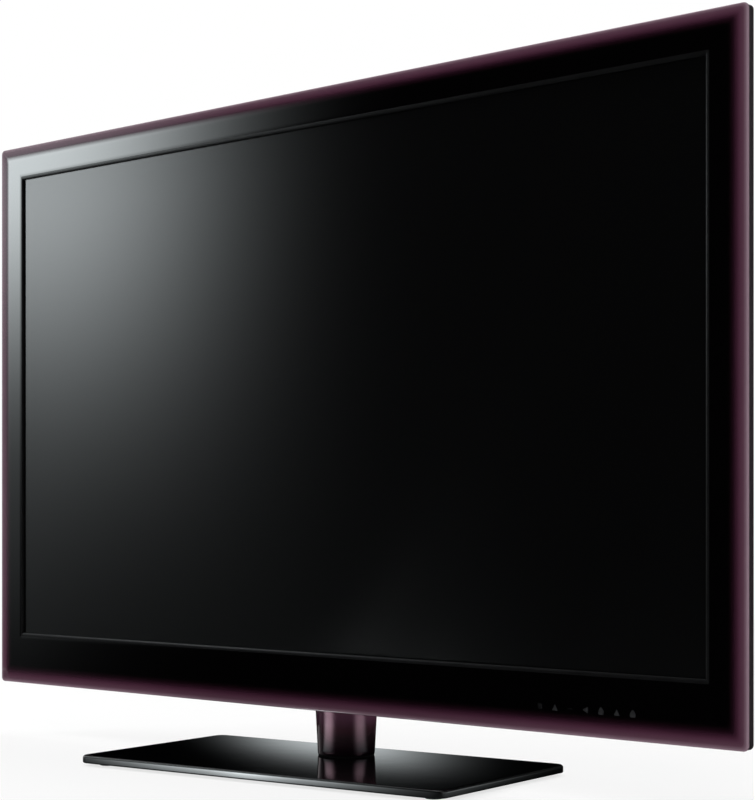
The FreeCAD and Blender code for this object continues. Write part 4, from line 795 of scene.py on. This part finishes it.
inside = LOW_RADIUS - WALL
profile = [(inside, neck_tall), (inside, 0.0)]
for step in range(LIP_STEPS + 1):
    turn = math.pi / 2 * step / LIP_STEPS
    profile.append((LOW_RADIUS - LIP + LIP * math.sin(turn), LIP - LIP * math.cos(turn)))
heights = [FIRST_LEVEL + LEVEL_STEP * k for k in range(LEVELS)]
heights += [neck_tall - FLARE_TALL * (1 - k / FLARE_STEPS) for k in range(FLARE_STEPS + 1)]
profile += [(neck_outline(height), height) for height in heights]
wine = start_finish("neck_wine", rough=0.11, Specular_Tint=(1.0, 0.62, 0.74, 1))
# Painted glow: the colour brightens to wine towards the top, standing for light inside the clear plastic.
paint(wine, between(wine, xyz_of(wine)["Z"], neck_low.z, neck_high.z, 0.0, 1.0), NECK_TINT_AND_GLOW)
grain(wine, 90, 0.0003, strength=0.03, detail=2)
shape = bmesh.new()
turned_ring(shape, profile, Matrix.Translation((NECK.x, NECK.y, neck_low.z)), steps=128)
neck = add_piece("neck_turned", shape, "head", "neck_wine")
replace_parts(neck, "neck_sleeve")
print("neck", round(neck_tall * 1000, 1), "mm tall, widest", round(neck_radius * 2000, 1), "mm")

# %% [markdown]
# Under the neck a felt ring hides the bearing and keeps dust out. It stands a hair above the
# base, so that the head can turn. Its near-black tone is painted shade: it reads as the shaded,
# dark seam below the neck.
# %% Felt seam ring
RING_INSIDE, RING_FOOT, RING_OUTSIDE, RING_GAP, RING_SOFT = 0.0275, 0.0286, 0.0289, 0.00012, 0.0003
# Near-black felt tones: painted shade for the seam under the neck.
SEAM_SHADE_TONES = (0.0012, 0.0011, 0.0012), (0.0030, 0.0028, 0.0030)
felt = surface("seam_felt", 0.95, *SEAM_SHADE_TONES, 900, (2600, 0.00015, 0.8, 5), Specular_IOR_Level=0.1)
base_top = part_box("base_plate")[1].z
low, high = base_top + RING_GAP, neck_low.z
profile = [(RING_INSIDE, high), (RING_INSIDE, low), (RING_FOOT, low)]
profile += [(RING_OUTSIDE, low + RING_SOFT), (RING_OUTSIDE, high)]
shape = bmesh.new()
turned_ring(shape, profile, Matrix.Translation((NECK.x, NECK.y, 0)), steps=96)
add_piece("neck_seam_ring", shape, "head", "neck_wine", felt)
print("felt ring", round((high - low) * 1000, 2), "mm tall")

# %% [markdown]
# ## The base plate
# The base is a black plate polished like a piano. Its top is a clear mirror, and its rounded
# edge is a little duller, so it gathers light from a wide arc of the room. Polish is never
# perfectly flat, so a very shallow, wide bump bends the mirrored lines a little.
# %% Base
POLISHED, EDGE_DULL, DULL_FROM, DULL_TO = 0.055, 0.28, 0.0006, 0.00003
piano = start_finish("base_gloss", rough=POLISHED, colour=(0.0012, 0.0013, 0.0015))
grain(piano, 40, 0.0004, strength=0.03, detail=2)
dull_run = (base_top - DULL_FROM, base_top - DULL_TO, EDGE_DULL, POLISHED)
drive(piano, "Roughness", between(piano, xyz_of(piano)["Z"], *dull_run))
print("the base is a mirror over black")

# %% [markdown]
# ## Rubber feet
# Four moulded feet keep the base off the table. A real one is not a plain disc: its rim is
# rounded, and a hollow in its sole grips the table. The same lathe makes them, in the places
# where the CAD file has its feet.
# %% Turned feet
HOLLOW_WIDE, HOLLOW_RIM, HOLLOW_DEEP = 0.5, 0.52, 0.0006
surface("foot_rubber", 0.8, (0.022, 0.022, 0.023), (0.036, 0.035, 0.036), 160, (2400, 0.00006, 0.5))
shape = bmesh.new()
feet = solids_of("rubber_feet")
for low, high in feet:
    radius, tall = (high.x - low.x) / 2, high.z - low.z
    profile = [(0, HOLLOW_DEEP), (radius * HOLLOW_WIDE, HOLLOW_DEEP), (radius * HOLLOW_RIM, 0.0)]
    profile += [(radius - 0.0012, 0.0), (radius - 0.0004, 0.0003), (radius, 0.0010)]
    profile += [(radius - 0.0003, tall), (0, tall)]
    middle = (low + high) / 2
    turned(shape, profile, Matrix.Translation((middle.x, middle.y, low.z)), steps=40)
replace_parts(add_piece("feet_turned", shape, "stand", "foot_rubber"), "rubber_feet")
print(len(feet), "feet")

# %% [markdown]
# ## Screws
# A screw head with no recess looks like a rivet. Each screw here has a domed head with a cross
# recess, a shank, and a thread of fine rings, which is enough for a thread that hardly shows. The
# recess is real geometry: the flat top of the head is filled between its rim and a cross-shaped
# outline, and the cross goes down to a smaller cross at the bottom.
# %% One cross-recessed screw
FLAT, DOME, PITCH, ROOT = 0.62, 0.35, 0.0009, 0.86
CROSS_ARM, CROSS_HALF, CROSS_DEEP, CROSS_TAPER = 0.5, 0.13, 0.6, 0.75


def cross_outline(arm, half):
    """Corners of a cross; to multiply by 1j turns a point by a right angle."""
    quarter = [complex(arm, -half), complex(arm, half), complex(half, half)]
    points = [turn * corner for turn in (1, 1j, -1, -1j) for corner in quarter]
    return [(point.real, point.imag) for point in points]


def screw(shape, place, head, head_tall, shank, length):
    """Screw with its head's top at the origin of its place, pointing up, and its shank below."""
    dome = head_tall * DOME
    tip = -head_tall - length
    rings = max(3, int(length / PITCH))
    profile = [(0, tip), (shank * 0.4, tip)]
    for ring in range(rings):
        height = tip + length * (ring + 0.3) / rings
        profile += [(shank, height), (shank * ROOT, height + length * 0.5 / rings)]
    profile += [(shank, -head_tall), (head, -head_tall), (head, -dome * 1.4)]
    profile += [(head * 0.9, -dome * 0.5), (head * FLAT, 0)]
    rim = [ring[-1] for ring in turned(shape, profile, place, steps=28)]
    cross = cross_outline(head * CROSS_ARM, head * CROSS_HALF)
    upper, lower = (
        [shape.verts.new(place @ Vector((x * scale, y * scale, height))) for x, y in cross]
        for scale, height in ((1.0, 0.0), (CROSS_TAPER, -head_tall * CROSS_DEEP))
    )
    for k in range(len(upper)):
        shape.faces.new((upper[k - 1], upper[k], lower[k], lower[k - 1]))
    shape.faces.new(lower[::-1])
    edges = [shape.edges.get((loop[k - 1], loop[k])) for loop in (rim, upper) for k in range(len(loop))]
    bmesh.ops.triangle_fill(shape, use_beauty=True, edges=edges)


print("cross with", len(cross_outline(1, 0.3)), "corners")

# %% [markdown]
# The cover's twelve screws, the bracket's four and the base's eight are of one kind. The box of
# each CAD screw says where its head ends and how wide it is, so one loop makes all three rows.
# Black zinc is a metal finish: dark, a little rough, and rubbed paler here and there.
# %% All visible screws
ZINC_TONES = (0.030, 0.030, 0.032), (0.085, 0.083, 0.080)
surface("screw_black", 0.36, *ZINC_TONES, 700, shine_by=(0.26, 0.46, 500), metal=1.0)
TO_BACK = Matrix.Rotation(math.radians(-90), 4, "X")
TO_FLOOR = Matrix.Rotation(math.radians(180), 4, "X")
ROWS = (
    ("cover_screws", "head", TO_BACK, 1, 0.0018, 0.0015),
    ("bracket_screws", "head", TO_BACK, 1, 0.0024, 0.0020),
    ("base_screws", "stand", TO_FLOOR, 2, 0.0016, 0.0018),
)
for name, body, turn, axis, head_tall, shank in ROWS:
    shape = bmesh.new()
    for low, high in solids_of(name):
        middle = (low + high) / 2
        middle[axis] = low[axis] if axis == 2 else high[axis]
        length = high[axis] - low[axis] - head_tall
        screw(shape, Matrix.Translation(middle) @ turn, (high.x - low.x) / 2, head_tall, shank, length)
    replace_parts(add_piece(name + "_cut", shape, body, "screw_black"), name)
    print(name, len(solids_of(name)))

# %% [markdown]
# ## The back cover
# The cover is a big, thin moulding. Its tool was spark-eroded, which leaves an even, sandy
# grain that hides scratches and flow marks. Two sizes of bump make it: a coarse one that can be
# seen, and the fine tooth that kills the shine. Broad faces of such covers never have quite the
# same shine all over.
# %% Spark-eroded cover and trays
COVER_TONES = (0.0165, 0.0165, 0.0175), (0.0245, 0.0245, 0.0255)
cover = surface("cover_black", 0.56, *COVER_TONES, 5, shine_by=(0.50, 0.64, 7))
coarse, fine = noise(cover, 900, 2), noise(cover, 2600, 4)
bump(cover, plus(cover, times(cover, fine, 0.4), coarse), 0.00010, 0.55)
cover_low, cover_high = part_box("back_cover")
print("cover", [round(v, 3) for v in cover_high - cover_low])

# %% [markdown]
# ## Bracket and shroud
# The cast bracket carries the whole head. It is powder coated: the powder melts into a skin
# with a soft orange-peel ripple. The shroud over the neck's back is a polished moulding, so it
# is nearly black with clean highlights and only a very shallow wave.
# %% Powder coat and polished shroud
POWDER_TONES = (0.018, 0.018, 0.019), (0.028, 0.028, 0.029)
surface("bracket_black", 0.42, *POWDER_TONES, 30, (620, 0.00012, 0.45, 2), (0.36, 0.50, 60))
SHROUD_TONES = (0.0060, 0.0058, 0.0064), (0.0090, 0.0086, 0.0094)
surface("shroud_black", 0.13, *SHROUD_TONES, 14, (60, 0.0003, 0.05, 2), (0.10, 0.17, 40))
print("bracket and shroud")

# %% [markdown]
# ## Steel, nickel, brass and aluminium
# Metals need no colour of their own beyond what they reflect: metallic is 1, and the base
# colour is the reflection's tint. What tells them apart is their surface. Zinc on pressed steel
# grows in flakes, nickel is smooth with faint wipe marks, turned brass has rings, and extruded
# aluminium has long fine lines along the bar.
# %% Metals
zinc = start_finish("pressed_steel", 0.42, metal=1.0)
flakes = add_node(zinc, "SeparateColor", Color=cells(zinc, 140)["Color"]).outputs[0]
drive(zinc, "Roughness", between(zinc, flakes, 0, 1, 0.34, 0.52))
paint(zinc, flakes, [(0.0, (0.42, 0.43, 0.44)), (1.0, (0.60, 0.61, 0.62))])
WIPED, LATHED = (0.14, 0.30, 260, 4.0, (1, 6, 1)), (500, 0.00004, 0.4, 3.0, (0.2, 8, 0.2))
DRAWN, ROLLED = (900, 0.00004, 0.35, 3.0, (6, 6, 0.15)), (800, 0.00004, 0.3, 3.0, (0.15, 6, 6))
METALS = (
    ("plated_steel", 0.2, (0.58, 0.58, 0.56), (0.70, 0.70, 0.67), 90, None, WIPED),
    ("pillar_brass", 0.26, (0.56, 0.40, 0.17), (0.72, 0.54, 0.25), 80, LATHED),
    ("sink_aluminium", 0.34, (0.52, 0.53, 0.54), (0.68, 0.69, 0.70), 40, DRAWN, None, (9, 9, 0.4)),
    ("lamp_aluminium", 0.4, (0.62, 0.63, 0.62), (0.78, 0.79, 0.77), 70, ROLLED, None, (0.4, 6, 6)),
)
for row in METALS:
    surface(*row, metal=1.0)
print("metals: pressed_steel,", ", ".join(row[0] for row in METALS))

# %% [markdown]
# The four wall inserts are turned and tapped: the rings inside them are the thread that a wall
# bracket's bolt grips. A wave along the bore, with the pitch of an M6 thread, shows them. It is a
# finish of its own over the same nickel, because nothing else of nickel here is tapped.
# %% Tapped inserts
THREAD_PITCH = 0.001
tapped = surface("insert_nickel", 0.28, (0.50, 0.49, 0.46), (0.66, 0.65, 0.61), 200, metal=1.0)
waves = times(tapped, xyz_of(tapped)["Y"], math.tau / THREAD_PITCH)
bump(tapped, arithmetic(tapped, "SINE", waves), 0.0003, 0.7)
print("thread pitch", THREAD_PITCH * 1000, "mm")

# %% [markdown]
# ## Moulded and painted small parts
# Few people see these parts, but the model can be opened up, and a flat colour would look like
# a toy. The bush and washer are undyed bearing plastic, a warm white that looks slightly waxy.
# The weight is painted in grey primer. Loudspeaker boxes, sockets and wires are black, each
# with its own shine.
# %% Small parts
bush_grain, fine_grain = (800, 0.00004, 0.3, 3.0, (1, 1, 6)), (2500, 0.00003, 0.3)
surface("bush_plastic", 0.36, (0.60, 0.59, 0.55), (0.72, 0.71, 0.67), 60, bush_grain)
surface("weight_grey", 0.6, (0.070, 0.070, 0.074), (0.100, 0.100, 0.104), 25, (900, 0.00008, 0.45))
surface("speaker_black", 0.5, (0.024, 0.024, 0.025), (0.036, 0.036, 0.037), 60, (1500, 0.00006, 0.4))
surface("socket_black", 0.4, (0.012,) * 3, (0.020,) * 3, 150, fine_grain, (0.34, 0.48, 120))
surface("wire_black", 0.45, (0.020,) * 3, (0.034,) * 3, 200, (1200, 0.00005, 0.3))
print("small parts")

# %% [markdown]
# ## Behind the screen
# The light of a screen comes from lamp strips at the edges of a clear plate. Dots on that plate
# throw it forward, white film behind returns it, and more film in front spreads it. Boards and
# flexes drive it all. A circuit board is green lacquer over copper: the copper tracks show as a
# paler green, so a brick pattern of thin lines serves as tracks, and black parts stand on it.
# %% Light plate, films, boards and flexes
clear = surface("guide_clear", 0.08, (0.74, 0.79, 0.79), (0.82, 0.86, 0.86), 8)
bump(clear, cells(clear, 420)["Distance"], 0.0001, 0.35)
surface("film_white", 0.55, (0.80, 0.81, 0.80), (0.87, 0.88, 0.87), 15, (1500, 0.00004, 0.3))
GREENS = {"Color1": (0.012, 0.110, 0.045, 1), "Color2": (0.016, 0.135, 0.055, 1)}
COPPER, CHIP_LEVEL, CHIP_BLACK = (0.050, 0.230, 0.090, 1), 0.00845, (0.020, 0.020, 0.021, 1)
board = start_finish("circuit_board", rough=0.35)
upright = add_node(board, "Mapping", Vector=place_of(board), Rotation=(math.radians(90), 0, 0))
lines = {"Scale": 60, "Mortar_Size": 0.018, "Mortar": COPPER}
tracks = add_node(board, "TexBrick", Vector=upright.outputs[0], **lines, **GREENS).outputs["Color"]
lacquer = add_node(board, "Mix")
lacquer.data_type = "RGBA"
is_chip = arithmetic(board, "GREATER_THAN", xyz_of(board)["Y"], CHIP_LEVEL)
board.node_tree.links.new(is_chip, lacquer.inputs[0])
board.node_tree.links.new(tracks, lacquer.inputs[6])
lacquer.inputs[7].default_value = CHIP_BLACK
drive(board, "Base Color", lacquer.outputs[2])
grain(board, 400, 0.00008, strength=0.3)
WOVEN, FLAT_WIRES = (6, 1, 0.2), (6, 1, 0.1)
amber, grey = ((0.36, 0.13, 0.018), (0.56, 0.25, 0.05)), ((0.42, 0.42, 0.41), (0.66, 0.66, 0.64))
surface("flex_amber", 0.28, *amber, 500, (700, 0.00004, 0.3, 3.0, WOVEN), stretch=WOVEN)
surface("ribbon_grey", 0.4, *grey, 700, (900, 0.00005, 0.4, 3.0, FLAT_WIRES), stretch=FLAT_WIRES)
print("inside finishes:", len(FINISH), "in all")

# %% [markdown]
# ## What is inside the sockets
# A socket is a shell round a tongue with contacts. The CAD shells have their mouths but no
# tongues, because they are too fine to matter for fit. Here each picture and data socket gets
# its tongue with a row of gilt contacts on it. The shells' boxes give their places.
# %% Tongues and contacts
gilt = surface("contact_gilt", 0.22, (0.66, 0.45, 0.14), (0.80, 0.58, 0.22), 600, metal=1.0)
TONGUE_FRONT, TONGUE_ROOT, TONGUE_HALF, TONGUE_SOFT = 0.0011, 0.0019, 0.0004, 0.00015
GOLD_BACK, GOLD_HALF, GOLD_SHARE, GOLD_SOFT = 0.0004, 0.0005, 0.22, 0.00004


def tongue_row(label, wide, level_share, contacts, pitch):
    tongues, gold = bmesh.new(), bmesh.new()
    for low, high in solids_of(label + "_sockets"):
        middle = (low.z + high.z) / 2
        level = low.y + (high.y - low.y) * level_share
        front, root = low.x + TONGUE_FRONT, high.x - TONGUE_ROOT
        near, far = level - TONGUE_HALF, level + TONGUE_HALF
        block(tongues, (front, near, middle - wide / 2), (root, far, middle + wide / 2), TONGUE_SOFT)
        front += GOLD_BACK
        near, far = level - GOLD_HALF, level + GOLD_HALF
        for number in range(contacts):
            at = middle + pitch * (number - (contacts - 1) / 2)
            half = pitch * GOLD_SHARE
            block(gold, (front, near, at - half), (root, far, at + half), GOLD_SOFT)
    add_piece(label + "_tongues", tongues, "head", "socket_black")
    add_piece(label + "_contacts", gold, "head", "plated_steel", gilt)


tongue_row("media", 0.0112, 0.5, 10, 0.001)
tongue_row("data", 0.0100, 0.32, 4, 0.0022)
print("tongues in", len(solids_of("media_sockets")) + len(solids_of("data_sockets")), "sockets")

# %% [markdown]
# The sound sockets carry a coloured ring each, so that plugs find their place, and a nickel
# collar inside the ring. The aerial socket has its gilt pin, the optical one a hinged shutter,
# and the mains inlet two round pins with rounded tips. Rings, collars and pins are turned again.
# %% Rings, collars and the aerial pin
TO_SIDE = Matrix.Rotation(math.radians(-90), 4, "Y")
RINGS = (("white", (0.62, 0.62, 0.60)), ("red", (0.42, 0.02, 0.02)), ("yellow", (0.62, 0.42, 0.03)))
RING_SECTION = [(0.0012, 0.0), (0.0002, 0.0), (0.0002, 0.0006), (0.0006, 0.0010), (0.0012, 0.0010)]
COLLAR = [(0.00175, -0.004), (0.0026, -0.0001), (0.0026, 0.0016), (0.0022, 0.0018), (0.00175, 0.0018)]
AERIAL_PIN = [(0, -0.006), (0.0004, -0.006), (0.0004, -0.0004), (0.0002, 0.0), (0, 0.0)]
PIN_INSET, DARKER = 0.0015, 0.85
collars = bmesh.new()
for (low, high), (colour, tone) in zip(solids_of("phono_sockets"), RINGS):
    middle = (low + high) / 2
    radius = (high.z - low.z) / 2
    place = Matrix.Translation((low.x, middle.y, middle.z)) @ TO_SIDE
    dyed = surface("ring_" + colour, 0.35, [v * DARKER for v in tone], tone, 300, fine_grain)
    shape = bmesh.new()
    turned_ring(shape, [(radius - inset, height) for inset, height in RING_SECTION], place)
    add_piece(f"phono_ring_{colour}", shape, "head", "socket_black", dyed)
    turned_ring(collars, COLLAR, place)
add_piece("phono_collars", collars, "head", "plated_steel")
pins = bmesh.new()
(low, high), = solids_of("aerial_socket")
place = Matrix.Translation((low.x + PIN_INSET, (low.y + high.y) / 2, (low.z + high.z) / 2))
turned(pins, AERIAL_PIN, place @ TO_SIDE, 20)
add_piece("aerial_pin", pins, "head", "plated_steel", gilt)
print("rings, collars and the aerial pin")

# %% [markdown]
# The optical socket's shutter is a small sprung flap just inside the mouth. The mains pins
# go over the plain pins of the CAD inlet, a twentieth of a millimetre larger, in nickel.
# %% Shutter and mains pins
WALL_INSIDE, SHUTTER_FRONT, SHUTTER_BACK, SHUTTER_SOFT = 0.0013, 0.0016, 0.0024, 0.0002
PIN_RADIUS, PIN_PITCH, PIN_ROOT, PIN_LESS = 0.00125, 0.0086, 0.0021, 0.0038
shutter = bmesh.new()
(low, high), = solids_of("light_socket")
near = (low.x + SHUTTER_FRONT, low.y + WALL_INSIDE, low.z + WALL_INSIDE)
far = (low.x + SHUTTER_BACK, high.y - WALL_INSIDE, high.z - WALL_INSIDE)
block(shutter, near, far, SHUTTER_SOFT)
add_piece("light_shutter", shutter, "head", "socket_black")
low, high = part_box("mains_inlet")
middle = (low + high) / 2
tip = high.x - low.x - PIN_LESS
profile = [(0, 0), (PIN_RADIUS, 0), (PIN_RADIUS, tip - 0.0007), (PIN_RADIUS * 0.6, tip - 0.0001), (0, tip)]
pins = bmesh.new()
for side in (-1, 1):
    root = Matrix.Translation((low.x + PIN_ROOT, middle.y, middle.z + side * PIN_PITCH / 2))
    turned(pins, profile, root @ Matrix.Rotation(math.radians(90), 4, "Y"), 24)
add_piece("mains_pins", pins, "head", "plated_steel")
print("shutter and two mains pins")

# %% [markdown]
# ## Dressing the solids
# The remaining CAD solids keep their shapes, since these are right. Each takes the finish of
# its own slot in the record. The wall inserts take the tapped one.
# %% Give the solids their finishes
for name, solid in NODES.items():
    solid.data.materials.clear()
    solid.data.materials.append(tapped if name == "wall_inserts" else FINISH[SLOT[name]])
print(len(NODES), "solids dressed in", len(set(SLOT.values())), "finishes")
